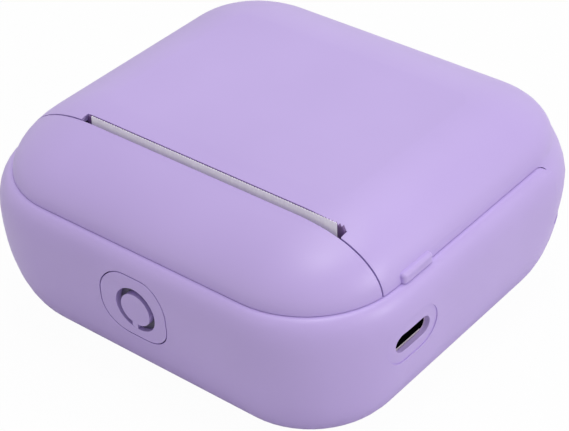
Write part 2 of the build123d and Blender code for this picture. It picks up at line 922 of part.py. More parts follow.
def gear_plate():
    """Steel side plate that hugs the axles, the motor and the posts."""
    platen, idler, compound, motor = gear_centres()
    discs = [(idler, plate_boss), (compound, plate_boss), (motor, motor_radius)]
    discs += [(place, plate_boss) for place in gear_post_places()]
    outlines = [Pos(*centre) * RegularPolygon(radius, fine_sides) for centre, radius in discs]
    sheet = make_hull([edge for outline in outlines for edge in outline.edges()])
    plate = Pos(gear_plate_x, 0, 0) * extrude(Plane.YZ * sheet, gear_plate_thickness)
    for place in gear_post_places():
        plate -= prism_x(-case_width, 0, *place, screw_radius)
    return plate - bore_x(-case_width, 0, *motor, motor_boss_radius)


def motor():
    centre = gear_centres()[3]
    can = prism_x(motor_front, motor_back, *centre, motor_radius, drum_sides)
    return can - bore_x(-case_width, motor_back - beyond, *centre, motor_shaft_radius + running_gap)


def gear_plate_screws():
    screws = []
    for place in gear_post_places():
        head = prism_x(gear_plate_x - gear_plate_thickness, gear_plate_x, *place, small_head_radius)
        screws.append(head + prism_x(gear_plate_x, motor_back, *place, screw_shank))
    return Compound(screws)


def notch_cut(x_from, x_to):
    """U notch for a platen bush, open upwards along the lid's path."""
    radius = bush_radius + bush_gap
    seat = bore_x(x_from, x_to, platen_y, platen_z, radius)
    path = Pos(0, 0, platen_radius) * Box(x_to - x_from, 2 * radius, 2 * platen_radius)
    lean = lid_lift_bearing() - 90
    flare = Rot(lean, 0, 0) * path + Rot(lean - notch_flare, 0, 0) * path
    return seat + Pos((x_from + x_to) / 2, platen_y, platen_z) * flare


def cheek_outline():
    low = trough_z - trough_outer + cheek_lift
    front = platen_y - cheek_front
    return [
        (trough_y - trough_outer, low + rail_width),
        (trough_y - trough_radius / 2, low),
        (trough_y + trough_radius / 2, low),
        (trough_y + trough_outer, low + 2 * rail_width),
        (trough_y + trough_outer, cheek_top),
        (front, cheek_top),
        (front, head_pin_z),
        (platen_y, frame_bottom),
        (trough_y - trough_outer, floor_wall + compound_rise),
    ]


def guide_profile():
    """Sloped guide under the straight run of the paper."""
    far = guide_gap + trough_wall
    return [web_point(guide_from, guide_gap), web_point(guide_to, guide_gap),
            web_point(guide_to, far), web_point(guide_from, far)]


def web_tangents():
    """Where the straight run of paper leaves the roll and meets the platen, and its direction."""
    outer = roll_radius + part_gap
    inner = platen_radius + running_gap + paper_thickness
    dy = platen_y - trough_y
    dz = platen_z - roll_z
    bearing = degrees(atan2(dz, dy)) + degrees(acos((outer - inner) / hypot(dy, dz)))
    return polar((trough_y, roll_z), bearing, outer), polar((platen_y, platen_z), bearing, inner), bearing


def web_point(share, offset=0.0):
    """Point a share along the paper's straight run, at an offset outwards from it."""
    leave, meet, bearing = web_tangents()
    y = leave[0] + share * (meet[0] - leave[0])
    z = leave[1] + share * (meet[1] - leave[1])
    return polar((y, z), bearing, offset)


def web_slope():
    """Tilt of the paper's straight run."""
    return web_tangents()[2] - 90


def trough():
    """Half pipe under the roll, cut away above the paper's straight run."""
    ring = RegularPolygon(trough_outer, drum_sides) - RegularPolygon(trough_radius, drum_sides)
    shell = extrude(Plane.YZ.offset(bay_left) * Pos(trough_y, trough_z) * ring, bay_right - bay_left)
    start = web_point(0, guide_gap)
    end = web_point(2, guide_gap)
    clear = [start, end, (end[0], body_height), (start[0], body_height)]
    shell -= side_profile(clear, bay_left - beyond, bay_right + beyond)
    low = (-case_width, -case_depth, cheek_top - trough_edge)
    return shell - box_between(low, (case_width, case_depth, 2 * body_height))


def chassis():
    """Trough, guide and cheeks in one moulding, on rails and posts that stand on the case's screws."""
    frame = trough() + side_profile(guide_profile(), bay_left, bay_right)
    notch = notch_cut(cheek_left - beyond, cheek_right + beyond)
    for x in (cheek_left, bay_right):
        frame += side_profile(cheek_outline(), x, x + cheek_wall) - notch
    frame -= prism_x(cheek_left - beyond, cheek_right + beyond, frame_screw_y, frame_screw_z, screw_shank)
    for y, z in gear_post_places():
        frame += prism_x(motor_front, cheek_left + overlap, y, z, post_radius)
    rail_top = rail_bottom + rail_height
    front_end = gear_centres()[3][0] - motor_radius - part_gap
    rear_start = trough_y + trough_outer - rail_rear_gap
    for x, outer in ((-foot_x, bay_left), (foot_x, cheek_right)):
        frame += box_between((x - rail_width, -foot_y, rail_bottom), (outer, front_end, rail_top))
        frame += box_between((x - rail_width, rear_start, rail_bottom), (outer, foot_y, rail_top))
        frame += peg_z(x, -foot_y, rail_bottom, board_top - board_thickness, post_radius)
        frame += peg_z(x, foot_y, rail_bottom, rear_post_top, post_radius)
        frame -= peg_z(x, -foot_y, 0, board_top, screw_shank)
        frame -= peg_z(x, foot_y, 0, rear_post_top - beyond, screw_shank)
    for y, z in gear_post_places():
        frame -= prism_x(gear_plate_x, motor_back + part_gap / 2, y, z, screw_shank)
    window = Box(sensor_width + part_gap, sensor_length + part_gap, 3 * trough_wall)
    return frame - sensor_place() * window


def sensor_place():
    """On the guide, left of the paper's middle and square to its run."""
    spot = web_point((guide_from + guide_to) / 2, guide_gap + trough_wall / 2)
    return Pos(paper_left + sensor_inset, *spot) * Rot(web_slope(), 0, 0)


def paper_sensor():
    return sensor_place() * Box(sensor_width, sensor_length, trough_wall)


def web_outline(offset, top):
    """Edges of one face of the paper: straight run, round the platen and up through the slot."""
    leave, meet, bearing = web_tangents()
    centre = (platen_y, platen_z)
    radius = platen_radius + running_gap + paper_thickness - offset
    start = polar(leave, bearing, -offset)
    meet = polar(centre, bearing, radius)
    middle = polar(centre, (bearing + 180) / 2, radius)
    end = polar(centre, 180, radius)
    return [Line(start, meet), ThreePointArc(meet, middle, end), Line(end, (end[0], top))]


def paper_web():
    """Paper from the roll, under the platen, up past the head and out of the slot."""
    top = body_height + paper_proud
    outer = web_outline(0.0, top)
    inner = web_outline(paper_thickness, top)
    ends = [Line(outer[0] @ 0, inner[0] @ 0), Line(outer[-1] @ 1, inner[-1] @ 1)]
    return Pos(paper_left, 0, 0) * extrude(Plane.YZ * make_face(outer + inner + ends), paper_width)


def paper_roll():
    roll = prism_x(paper_left, paper_right, trough_y, roll_z, roll_radius, drum_sides)
    return roll - prism_x(-case_width, case_width, trough_y, roll_z, core_radius, drum_sides)


def roll_core():
    core = prism_x(paper_left, paper_right, trough_y, roll_z, core_radius, drum_sides)
    return core - rod_x(-case_width, case_width, trough_y, roll_z, core_bore)


def head_frame():
    """Bent steel frame: front wall, floor and two ears with the bush notches and the head pin's holes."""
    sheet = box_between((frame_left, frame_front, frame_bottom), (frame_right, frame_front + frame_wall, frame_top))
    sheet = chamfer(sheet.edges().filter_by(Axis.Y).group_by(Axis.Z)[-1], frame_corner)
    floor_rear = (frame_right, frame_front + frame_foot, frame_bottom + frame_wall)
    frame = sheet + box_between((frame_left, frame_front, frame_bottom), floor_rear)
    rear = platen_y + ear_rear
    ear = [(frame_front, frame_bottom), (platen_y + ear_foot, frame_bottom), (rear, frame_bottom + ear_low_rise),
           (rear, cheek_top), (platen_y - ear_front, cheek_top), (frame_front, frame_top - frame_corner)]
    for x in (frame_left, cheek_right):
        frame += side_profile(ear, x, x + frame_wall)
    left = frame_left - beyond
    right = frame_right + beyond
    frame -= notch_cut(left, right)
    frame -= bore_x(left, right, head_pin_y, head_pin_z, head_pin_radius)
    frame -= prism_x(left, right, frame_screw_y, frame_screw_z, screw_radius)
    window_z = (frame_bottom + frame_top) / 2
    window = Box(lightening_length, 2 * beyond + frame_wall, lightening_height)
    for x in (paper_left + lightening_inset, paper_right - lightening_inset - lightening_length):
        frame -= Pos(x + lightening_length / 2, frame_front + frame_wall / 2, window_z) * window
    return frame


def head_pin():
    return prism_x(frame_left - part_gap, frame_right + part_gap, head_pin_y, head_pin_z, head_pin_radius)


def frame_screws():
    left = prism_x(frame_left - frame_head_left, frame_left, frame_screw_y, frame_screw_z, small_head_radius)
    left += prism_x(frame_left, bay_left - running_gap, frame_screw_y, frame_screw_z, screw_shank)
    right = prism_x(frame_right, frame_right + frame_head_right, frame_screw_y, frame_screw_z, small_head_radius)
    right += prism_x(bay_right + running_gap, frame_right, frame_screw_y, frame_screw_z, screw_shank)
    return Compound([left, right])


def heat_sink():
    """Plate behind the head, with fins along its top and two lugs on the head pin."""
    front = head_back - heat_sink_thickness
    left = cheek_left + head_side_gap
    right = cheek_right - head_side_gap
    top = platen_z + heat_sink_above
    plate = box_between((left, front, head_pin_z + head_lug_radius + part_gap), (right, head_back, top))
    for x in (left, right - head_lug_length):
        plate += prism_x(x, x + head_lug_length, head_pin_y, head_pin_z, head_lug_radius)
        low = (x, front, head_pin_z)
        plate += box_between(low, (x + head_lug_length, head_back, head_pin_z + head_lug_radius + overlap))
    first = (left + right - (fin_count - 1) * fin_pitch - fin_slot) / 2
    for fin in range(fin_count):
        x = first + fin * fin_pitch
        plate -= box_between((x, front - beyond, top - fin_height), (x + fin_slot, front + fin_depth, top + beyond))
    return plate - rod_x(-case_width, case_width, head_pin_y, head_pin_z, head_pin_radius + running_gap)


def head_board():
    """Ceramic board with the raised heating line that faces the platen."""
    low = (cheek_left + beyond, head_back, platen_z - head_board_below)
    face = head_back + head_board_thickness
    board = box_between(low, (cheek_right - beyond, face, platen_z + head_board_above))
    return board + rod_x(paper_left, paper_right, face + glaze_proud - glaze_radius, platen_z, glaze_radius)


def head_spring():
    """Leaf spring on the frame's front wall with two tongues that press the head."""
    back = frame_front + frame_wall
    front = back + spring_thickness
    low = (paper_left + spring_inset, back, platen_z - spring_height - spring_drop)
    strip = box_between(low, (paper_right - spring_inset, front, platen_z - spring_drop))
    tip = head_back - heat_sink_thickness
    knee = platen_z + tongue_rise
    foot = platen_z - spring_drop - spring_thickness
    tongue = [(back, foot), (front, foot), (tip - 2 * spring_thickness, knee - tongue_bow),
              (tip - running_gap, knee), (tip - 2 * spring_thickness, knee + tongue_bow),
              (tip - 3 * spring_thickness, knee + tongue_bow), (tip - spring_thickness - running_gap, knee),
              (tip - 3 * spring_thickness, knee - tongue_bow)]
    for x in (paper_left + tongue_inset, paper_right - tongue_inset - tongue_width):
        strip += side_profile(tongue, x, x + tongue_width)
    return strip


def main_board():
    """Board under the head frame, with a wing beside the right cheek for the port."""
    left = board_left_gap - half_width
    right = half_width - wall - board_side_gap
    wing_left = cheek_right + board_cheek_gap
    outline = Polyline(
        [(left, board_rear), (left, board_front + board_corner), (left + board_corner, board_front),
         (right - 2 * board_corner, board_front), (right - board_corner / 2, board_front + board_corner),
         (right, port_y - port_wing), (right, port_y + port_wing), (wing_left, port_y + port_wing),
         (wing_left, board_rear)],
        close=True,
    )
    board = Pos(0, 0, board_top - board_thickness) * extrude(make_face(outline), board_thickness)
    for x in (-foot_x, foot_x):
        board -= peg_z(x, -foot_y, 0, board_top + beyond, screw_radius)
    return board


def board_screws():
    screws = []
    for x in (-foot_x, foot_x):
        head = peg_z(x, -foot_y, board_top, board_top + board_head_height, screw_head_radius)
        screws.append(head + peg_z(x, -foot_y, board_top - board_screw_length, board_top, screw_shank))
    return Compound(screws)


def usb_socket():
    """Metal shell with its contact tongue, a little behind the case's side."""
    front = half_width - port_depth
    back = front - socket_length
    shell = extrude(port_outline(socket_width, socket_height, back), socket_length)
    inner_width = socket_width - 2 * socket_wall
    cavity = port_outline(inner_width, socket_height - 2 * socket_wall, back + port_depth)
    shell -= extrude(cavity, socket_length)
    half = socket_tongue_thickness / 2
    low = (back + beyond, port_y - socket_tongue_half, port_z - half)
    return shell + box_between(low, (front - port_depth, port_y + socket_tongue_half, port_z + half))


def board_chips():
    chip = Box(chip_size, chip_size, chip_height)
    place = board_front + board_corner
    return Compound([Pos(x, place, board_top + chip_height / 2) * chip for x in chip_places])


def radio_shield():
    rear = board_rear - shield_inset
    low = (paper_left, rear - shield_depth, board_top)
    can = box_between(low, (paper_left + shield_width, rear, board_top + shield_height))
    return chamfer(can.edges().filter_by(Axis.Z), shield_corner)


def head_connector():
    rear = board_rear - shield_inset
    low = (paper_centre - connector_width / 2, rear - connector_depth, board_top)
    return box_between(low, (paper_centre + connector_width / 2, rear, board_top + connector_height))


def battery_cell():
    low = floor_wall + part_gap
    front = battery_front_gap - half_depth
    cell = box_between((-battery_length / 2, front, low), (battery_length / 2, front + battery_depth, low + battery_height))
    return fillet(cell.edges().filter_by(Axis.Y), battery_round)


def battery_plug():
    left = plug_x - plug_width / 2
    front = board_front + plug_inset
    low = (left, front, board_top)
    return box_between(low, (left + plug_width, front + plug_depth, board_top + plug_height))


def base_screws():
    screws = []
    for x, y in screw_places():
        head = peg_z(x, y, screw_seat, screw_seat + screw_head_height, screw_head_radius)
        screws.append(head + peg_z(x, y, screw_seat, screw_seat + base_screw_length, screw_shank))
    return Compound(screws)


def rubber_feet():
    top = screw_seat - glue_gap
    return Compound([peg_z(x, y, -foot_proud, top, foot_radius, fine_sides) for x, y in screw_places()])


case_blank = body_blank()
pieces = {
    "lower_case": lower_case,
    "nose_cap": nose_cap,
    "lid_shell": lid_shell,
    "hinge_pin": hinge_pin,
    "button_plate": button_plate,
    "power_button": power_button,
    "light_ring": light_ring,
    "tact_switch": tact_switch,
    "switch_plunger": switch_plunger,
    "platen_carrier": platen_carrier,
    "carrier_screws": carrier_screws,
    "tear_bar": tear_bar,
    "platen_shaft": platen_shaft,
    "platen_rubber": platen_rubber,
    "platen_bushes": platen_bushes,
    "platen_gear": platen_gear,
    "idler_gear": idler_gear,
    "compound_gear": compound_gear,
    "motor_pinion": motor_pinion,
    "gear_axles": gear_axles,
    "gear_plate": gear_plate,
    "gear_plate_screws": gear_plate_screws,
    "motor": motor,
    "chassis": chassis,
    "paper_sensor": paper_sensor,
    "paper_web": paper_web,
    "paper_roll": paper_roll,
    "roll_core": roll_core,
    "head_frame": head_frame,
    "frame_screws": frame_screws,
    "head_pin": head_pin,
    "heat_sink": heat_sink,
    "head_board": head_board,
    "head_spring": head_spring,
    "main_board": main_board,
    "board_screws": board_screws,
    "usb_socket": usb_socket,
    "board_chips": board_chips,
    "radio_shield": radio_shield,
    "head_connector": head_connector,
    "battery_cell": battery_cell,
    "battery_plug": battery_plug,
    "base_screws": base_screws,
    "rubber_feet": rubber_feet,
}

os.makedirs("parts", exist_ok=True)
for name, make in pieces.items():
    export_step(Pos(0, 0, foot_proud) * make(), f"parts/{name}.step")
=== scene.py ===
from math import cos, pi, radians, sin, sqrt

import bmesh
import bpy
from mathutils import Matrix, Vector


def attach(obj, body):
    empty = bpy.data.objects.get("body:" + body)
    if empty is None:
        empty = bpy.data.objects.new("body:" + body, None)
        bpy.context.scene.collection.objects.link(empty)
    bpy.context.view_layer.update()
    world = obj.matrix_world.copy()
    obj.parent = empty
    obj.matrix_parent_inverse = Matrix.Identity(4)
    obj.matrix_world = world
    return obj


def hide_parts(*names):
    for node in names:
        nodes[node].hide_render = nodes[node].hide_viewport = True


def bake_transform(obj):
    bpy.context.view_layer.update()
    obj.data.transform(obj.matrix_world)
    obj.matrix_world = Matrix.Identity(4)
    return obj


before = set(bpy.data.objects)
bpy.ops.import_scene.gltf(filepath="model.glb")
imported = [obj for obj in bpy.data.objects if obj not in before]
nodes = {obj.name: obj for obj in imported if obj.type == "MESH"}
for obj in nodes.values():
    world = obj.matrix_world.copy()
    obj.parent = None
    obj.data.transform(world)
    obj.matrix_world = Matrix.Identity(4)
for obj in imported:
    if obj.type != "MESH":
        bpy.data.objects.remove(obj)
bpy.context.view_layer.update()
mm = 0.001
print("frame loaded:", len(nodes), "nodes")

# sizes of the outer form in millimetres, z from the case's own bottom
form = {
    "width": 83.0, "depth": 79.8, "bodyHeight": 36.4, "seamHeight": 26.8, "footProud": 0.6,
    "frontCorner": 19.9, "rearCornerHigh": 19.0, "rearCornerLow": 20.6, "leastCorner": 1.0,
    "rearTaperHigh": 20.5, "rearTaperLow": 12.0, "cornerSegments": 14,
    "baseRoundWidth": 8.7, "baseRoundHeight": 19.6, "baseSteps": 14, "rimInset": 2.9, "rimHeight": 6.0,
    "domeSide": 14.1, "domeFront": 22.1, "domeRear": 20.6, "domePower": 1.88, "rearDomeDrop": 4.0,
    "noseSplit": 22.85, "skirtSplit": 23.8, "skirtCorner": 3.4, "skirtLowCorner": 3.0,
    "skirtRearRise": 2.3, "skirtSink": 0.22, "skirtSinkOver": 2.0,
    "slotLeft": 25.1, "slotRight": 30.2, "slotDepth": 1.9, "slotGap": 0.3,
    "hingeY": 35.8, "hingeHeight": 9.8, "hingeGap": 0.3, "barrelRadius": 2.9, "barrelHalf": 16.0,
    "skin": 0.02, "caseWall": 2.0, "lidWall": 1.8, "seamGap": 0.1, "edge": 0.12, "far": 60.0,
}
halfWidth = form["width"] / 2
halfDepth = form["depth"] / 2
axle = (form["hingeY"], form["hingeHeight"])


# materials: a number that flows between nodes, so that shader maths reads as an expression
class Signal:
    def __init__(self, finish, socket):
        self.finish = finish
        self.socket = socket

    def maths(self, operation, first, second):
        node = self.finish.node("ShaderNodeMath", {"operation": operation}, {0: first, 1: second})
        return Signal(self.finish, node.outputs[0])

    def __add__(self, other):
        return self.maths("ADD", self, other)

    def __radd__(self, other):
        return self.maths("ADD", other, self)

    def __mul__(self, other):
        return self.maths("MULTIPLY", self, other)

    def __rmul__(self, other):
        return self.maths("MULTIPLY", other, self)


class Finish:
    def __init__(self, name, roughness, metallic, colour):
        self.material = bpy.data.materials.new(name)
        self.material.use_nodes = True
        self.tree = self.material.node_tree
        self.shader = self.tree.nodes["Principled BSDF"]
        self.shader.inputs["Roughness"].default_value = roughness
        self.shader.inputs["Metallic"].default_value = metallic
        self.shader.inputs["Base Color"].default_value = (*linear(colour), 1.0)
        self.place = self.node("ShaderNodeTexCoord").outputs["Object"]

    def node(self, kind, settings=None, values=None):
        node = self.tree.nodes.new(kind)
        for name, value in (settings or {}).items():
            if name == "stops":
                ramp = node.color_ramp.elements
                while len(ramp) < len(value):
                    ramp.new(0.5)
                for stop, (position, colour) in zip(ramp, value):
                    stop.position = position
                    stop.color = (*linear(colour), 1.0)
            else:
                setattr(node, name, value)
        for name, value in (values or {}).items():
            if isinstance(value, Signal):
                self.tree.links.new(value.socket, node.inputs[name])
            elif isinstance(value, bpy.types.NodeSocket):
                self.tree.links.new(value, node.inputs[name])
            else:
                node.inputs[name].default_value = value
        return node

    def stretched(self, scale):
        return self.node("ShaderNodeMapping", None, {"Vector": self.place, "Scale": scale}).outputs[0]

    def noise(self, scale, detail=3.0, roughness=0.55, at=None):
        node = self.node("ShaderNodeTexNoise", None, {
            "Vector": at or self.place, "Scale": scale, "Detail": detail, "Roughness": roughness})
        return Signal(self, node.outputs[0])

    def bands(self, scale, direction):
        node = self.node("ShaderNodeTexWave", {"bands_direction": direction},
                         {"Vector": self.place, "Scale": scale})
        return Signal(self, node.outputs[1])

    def tinted(self, factor, *stops):
        return self.node("ShaderNodeValToRGB", {"stops": stops}, {0: factor}).outputs[0]

    def feed(self, name, value):
        socket = value.socket if isinstance(value, Signal) else value
        self.tree.links.new(socket, self.shader.inputs[name])

    def bump(self, height, strength, distance):
        node = self.node("ShaderNodeBump", None,
                         {"Height": height, "Strength": strength, "Distance": distance})
        self.feed("Normal", node.outputs[0])
        return self


def linear(colour):
    return [c / 12.92 if c <= 0.04045 else ((c + 0.055) / 1.055) ** 2.4 for c in colour]


def moulded(name, colour, roughness, grain=1.0, spread=0.012):
    # fine spark-eroded grain, a slow drift of shade and slightly uneven gloss
    finish = Finish(name, roughness, 0.0, colour)
    drift = finish.noise(26.0, 2.0)
    darker = [max(0.0, c - spread) for c in colour]
    lighter = [min(1.0, c + spread) for c in colour]
    finish.feed("Base Color", finish.tinted(drift, (0.3, darker), (0.7, lighter)))
    fine = finish.noise(5200.0, 2.0, 0.6)
    coarse = finish.noise(1500.0, 2.0)
    finish.feed("Roughness", roughness - 0.03 + 0.06 * finish.noise(900.0, 2.0))
    return finish.bump(0.6 * fine + 0.4 * coarse, 0.10 * grain, 0.00006)


def metal(name, colour, roughness, brushed=(1, 1, 1)):
    finish = Finish(name, roughness, 1.0, colour)
    streaks = finish.noise(900.0, 4.0, 0.7, finish.stretched(brushed))
    stain = finish.noise(120.0, 3.0)
    darker = [0.86 * c for c in colour]
    finish.feed("Base Color", finish.tinted(stain, (0.35, darker), (0.65, colour)))
    finish.feed("Roughness", roughness - 0.06 + 0.14 * streaks)
    return finish.bump(streaks, 0.12, 0.00004)


def paperFinish():
    finish = Finish("paperWhite", 0.62, 0.0, (0.93, 0.93, 0.94))
    fibres = finish.noise(2600.0, 5.0, 0.7, finish.stretched((1.0, 0.25, 0.25)))
    clouds = finish.noise(420.0, 3.0)
    shade = finish.tinted(0.5 * fibres + 0.5 * clouds, (0.3, (0.90, 0.88, 0.92)), (0.7, (0.96, 0.95, 0.97)))
    finish.feed("Base Color", shade)
    # a faint glow stands for the light that comes through thin paper
    finish.feed("Emission Color", shade)
    finish.shader.inputs["Emission Strength"].default_value = 0.10
    return finish.bump(fibres, 0.2, 0.00004)


def rollFinish():
    # fine streaks along the roll and specks on its ends stand for the wound layers
    finish = Finish("rollPaper", 0.66, 0.0, (0.92, 0.92, 0.93))
    fibres = finish.noise(2400.0, 4.0, 0.7)
    layers = finish.noise(8200.0, 1.0, 0.5, finish.stretched((0.02, 1.0, 1.0)))
    shade = finish.tinted(0.5 * fibres + 0.5 * layers, (0.25, (0.82, 0.82, 0.85)), (0.7, (0.94, 0.94, 0.94)))
    finish.feed("Base Color", shade)
    return finish.bump(layers, 0.25, 0.00005)


def boardFinish():
    # solder mask, paler where the copper runs lie under it
    finish = Finish("circuitGreen", 0.35, 0.0, (0.07, 0.3, 0.16))
    runs = finish.bands(420.0, "X") * finish.bands(260.0, "Y")
    weave = finish.noise(1800.0, 2.0)
    shade = finish.tinted(0.75 * runs + 0.25 * weave, (0.25, (0.05, 0.25, 0.13)), (0.6, (0.12, 0.42, 0.22)))
    finish.feed("Base Color", shade)
    finish.feed("Roughness", 0.3 + 0.15 * weave)
    return finish.bump(runs, 0.3, 0.00005)


def rubber(name, colour, roughness):
    finish = Finish(name, roughness, 0.0, colour)
    pores = finish.noise(3200.0, 4.0, 0.65)
    darker = [0.8 * c for c in colour]
    lighter = [min(1, 1.12 * c) for c in colour]
    finish.feed("Base Color", finish.tinted(pores, (0.3, darker), (0.7, lighter)))
    finish.feed("Roughness", roughness - 0.05 + 0.1 * pores)
    return finish.bump(pores, 0.35, 0.00006)


finishes = {
    "lilac": moulded("lilacPlastic", (0.762, 0.675, 0.905), 0.38),
    # the same lilac, darker: painted shade for the tear bar in its notch
    "paintedShadeLilac": moulded("paintedShadeLilac", (0.47, 0.36, 0.56), 0.42),
    # near-black steel for the socket's inside: painted shade of the hollow
    "paintedShadeSteel": metal("socketInsidePaintedShade", (0.10, 0.09, 0.11), 0.5),
    # paler steel for the socket's rim and outside: a painted highlight
    "paintedHighlightSteel": metal("socketRimPaintedHighlight", (0.93, 0.90, 0.88), 0.35),
    # pale glowing lip of the socket: a painted highlight
    "lipPaintedHighlight": moulded("socketLipPaintedHighlight", (0.95, 0.92, 0.92), 0.3),
    "guide": moulded("darkGuide", (0.30, 0.27, 0.37), 0.35),
    "grey": moulded("greyPlastic", (0.80, 0.80, 0.83), 0.5, 1.4),
    "black": moulded("blackPlastic", (0.09, 0.09, 0.10), 0.45, 1.4),
    "nylon": moulded("whiteNylon", (0.90, 0.89, 0.85), 0.38, 0.8),
    "core": moulded("corePlastic", (0.84, 0.84, 0.82), 0.5, 1.2),
    "ceramic": moulded("ceramicWhite", (0.86, 0.85, 0.80), 0.22, 0.5),
    "wrap": moulded("cellWrap", (0.70, 0.70, 0.74), 0.3, 2.0),
    "steel": metal("plateSteel", (0.74, 0.75, 0.77), 0.28, (0.15, 1, 1)),
    "aluminium": metal("milledAluminium", (0.83, 0.84, 0.86), 0.34, (0.1, 1, 1)),
    "platenRubber": rubber("blackRubber", (0.11, 0.11, 0.12), 0.62),
    "footRubber": rubber("footRubber", (0.55, 0.49, 0.66), 0.7),
    "paper": paperFinish(),
    "roll": rollFinish(),
    "board": boardFinish(),
}
print("finishes:", len(finishes))

# every node is dressed, also those that the pieces built below take the place of
cadFinishes = {
    "steel": ["hinge_pin", "carrier_screws", "platen_shaft", "gear_axles", "gear_plate", "gear_plate_screws",
              "motor", "head_frame", "frame_screws", "head_pin", "head_spring", "board_screws",
              "base_screws", "usb_socket", "radio_shield"],
    "nylon": ["platen_gear", "idler_gear", "compound_gear", "motor_pinion", "platen_bushes", "battery_plug"],
    "lilac": ["tear_bar", "lower_case", "nose_cap", "lid_shell", "button_plate", "power_button"],
    "guide": ["light_ring"],
    "grey": ["chassis", "platen_carrier"],
    "black": ["tact_switch", "switch_plunger", "board_chips", "head_connector", "paper_sensor"],
    "aluminium": ["heat_sink"],
    "platenRubber": ["platen_rubber"],
    "footRubber": ["rubber_feet"],
    "paper": ["paper_web"],
    "roll": ["paper_roll"],
    "core": ["roll_core"],
    "ceramic": ["head_board"],
    "board": ["main_board"],
    "wrap": ["battery_cell"],
}
for finish, names in cadFinishes.items():
    for name in names:
        nodes[name].data.materials.clear()
        nodes[name].data.materials.append(finishes[finish].material)


# helpers for meshes, all in millimetres until toPiece scales them
meshing = {"sharpAngle": 32.0, "cornerAngle": 42.0, "merge": 0.02, "thin": 0.01, "arcSteps": 12}
sides = {"tiny": 24, "small": 32, "medium": 40, "ear": 48, "large": 64, "fine": 96, "finest": 128}


def linked(piece):
    bpy.context.scene.collection.objects.link(piece)
    return piece


def toPiece(name, bm, finish, body, *replaced):
    bmesh.ops.translate(bm, verts=bm.verts, vec=(0, 0, form["footProud"]))
    bmesh.ops.scale(bm, verts=bm.verts, vec=(mm, mm, mm))
    mesh = bpy.data.meshes.new(name)
    bm.to_mesh(mesh)
    bm.free()
    piece = linked(bpy.data.objects.new(name, mesh))
    mesh.materials.append(finishes[finish].material)
    for face in mesh.polygons:
        face.use_smooth = True
    mesh.set_sharp_from_angle(angle=radians(meshing["sharpAngle"]))
    if body:
        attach(piece, body)
    if replaced:
        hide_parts(*replaced)
    return piece


def fromNode(name):
    # a copy of a node's mesh in the case's own millimetres
    bm = bmesh.new()
    bm.from_mesh(nodes[name].data)
    bmesh.ops.scale(bm, verts=bm.verts, vec=(1 / mm, 1 / mm, 1 / mm))
    bmesh.ops.translate(bm, verts=bm.verts, vec=(0, 0, -form["footProud"]))
    return bm


def weighted(piece):
    # flat faces keep flat shading beside their rounded edges
    modifier = piece.modifiers.new("weights", "WEIGHTED_NORMAL")
    modifier.keep_sharp = True
    return piece


def roundedLoop(bm, section, height):
    # one rounded rectangle; its section is (low corner, high corner, (front radius, rear radius))
    low, high, radii = section
    corners = [(low[0], low[1]), (high[0], low[1]), (high[0], high[1]), (low[0], high[1])]
    verts = [bm.verts.new((x, y, height)) for x, y in corners]
    bm.faces.new(verts)
    for pair, radius in ((verts[:2], radii[0]), (verts[2:], radii[1])):
        bmesh.ops.bevel(bm, geom=pair, offset=radius, offset_type="OFFSET", affect="VERTICES",
                        segments=form["cornerSegments"], profile=0.5, material=-1)
    bm.faces.ensure_lookup_table()
    face = bm.faces[0]
    edges = list(face.edges)
    bmesh.ops.delete(bm, geom=[face], context="FACES_ONLY")
    return edges


def bridged(rings):
    # rings are (section, height) pairs from one end of the wall round to the other
    bm = bmesh.new()
    loops = [roundedLoop(bm, section, height) for section, height in rings]
    for first, second in zip(loops, loops[1:]):
        bmesh.ops.bridge_loops(bm, edges=first + second)
    for loop in (loops[0], loops[-1]):
        bmesh.ops.contextual_create(bm, geom=loop)
    bmesh.ops.recalc_face_normals(bm, faces=bm.faces)
    return bm


def scratch(bm):
    mesh = bpy.data.meshes.new("scratch")
    bm.to_mesh(mesh)
    bm.free()
    return linked(bpy.data.objects.new("scratch", mesh))


def carved(bm, tool, operation="DIFFERENCE"):
    base = scratch(bm)
    cutter = scratch(tool)
    modifier = base.modifiers.new("cut", "BOOLEAN")
    modifier.operation = operation
    modifier.solver = "EXACT"
    modifier.object = cutter
    graph = bpy.context.evaluated_depsgraph_get()
    mesh = bpy.data.meshes.new_from_object(base.evaluated_get(graph))
    result = bmesh.new()
    result.from_mesh(mesh)
    for piece in (base, cutter):
        leftover = piece.data
        bpy.data.objects.remove(piece)
        bpy.data.meshes.remove(leftover)
    bpy.data.meshes.remove(mesh)
    bmesh.ops.remove_doubles(result, verts=result.verts, dist=meshing["merge"])
    bmesh.ops.dissolve_degenerate(result, edges=result.edges, dist=meshing["thin"])
    return result


def joined(parts):
    whole = bmesh.new()
    for part in parts:
        mesh = bpy.data.meshes.new("part")
        part.to_mesh(mesh)
        part.free()
        whole.from_mesh(mesh)
        bpy.data.meshes.remove(mesh)
    return whole


def rounded(bm, edges, width, segments, clamped=False):
    bmesh.ops.bevel(bm, geom=edges, offset=width, offset_type="OFFSET", affect="EDGES",
                    segments=segments, profile=0.5, material=-1, clamp_overlap=clamped)
    return bm


def softened(bm, width, angle=meshing["cornerAngle"], segments=2, where=None):
    # rounds the sharp edges, or those of them that where() picks
    edges = [e for e in bm.edges if e.is_manifold and e.calc_face_angle(0.0) > radians(angle)]
    if where:
        edges = [e for e in edges if where(e)]
    return rounded(bm, edges, width, segments, clamped=True)


def block(low, high):
    bm = bmesh.new()
    middle = [(a + b) / 2 for a, b in zip(low, high)]
    size = [b - a for a, b in zip(low, high)]
    bmesh.ops.create_cube(bm, size=1.0, matrix=Matrix.Translation(middle) @ Matrix.Diagonal((*size, 1.0)))
    return bm


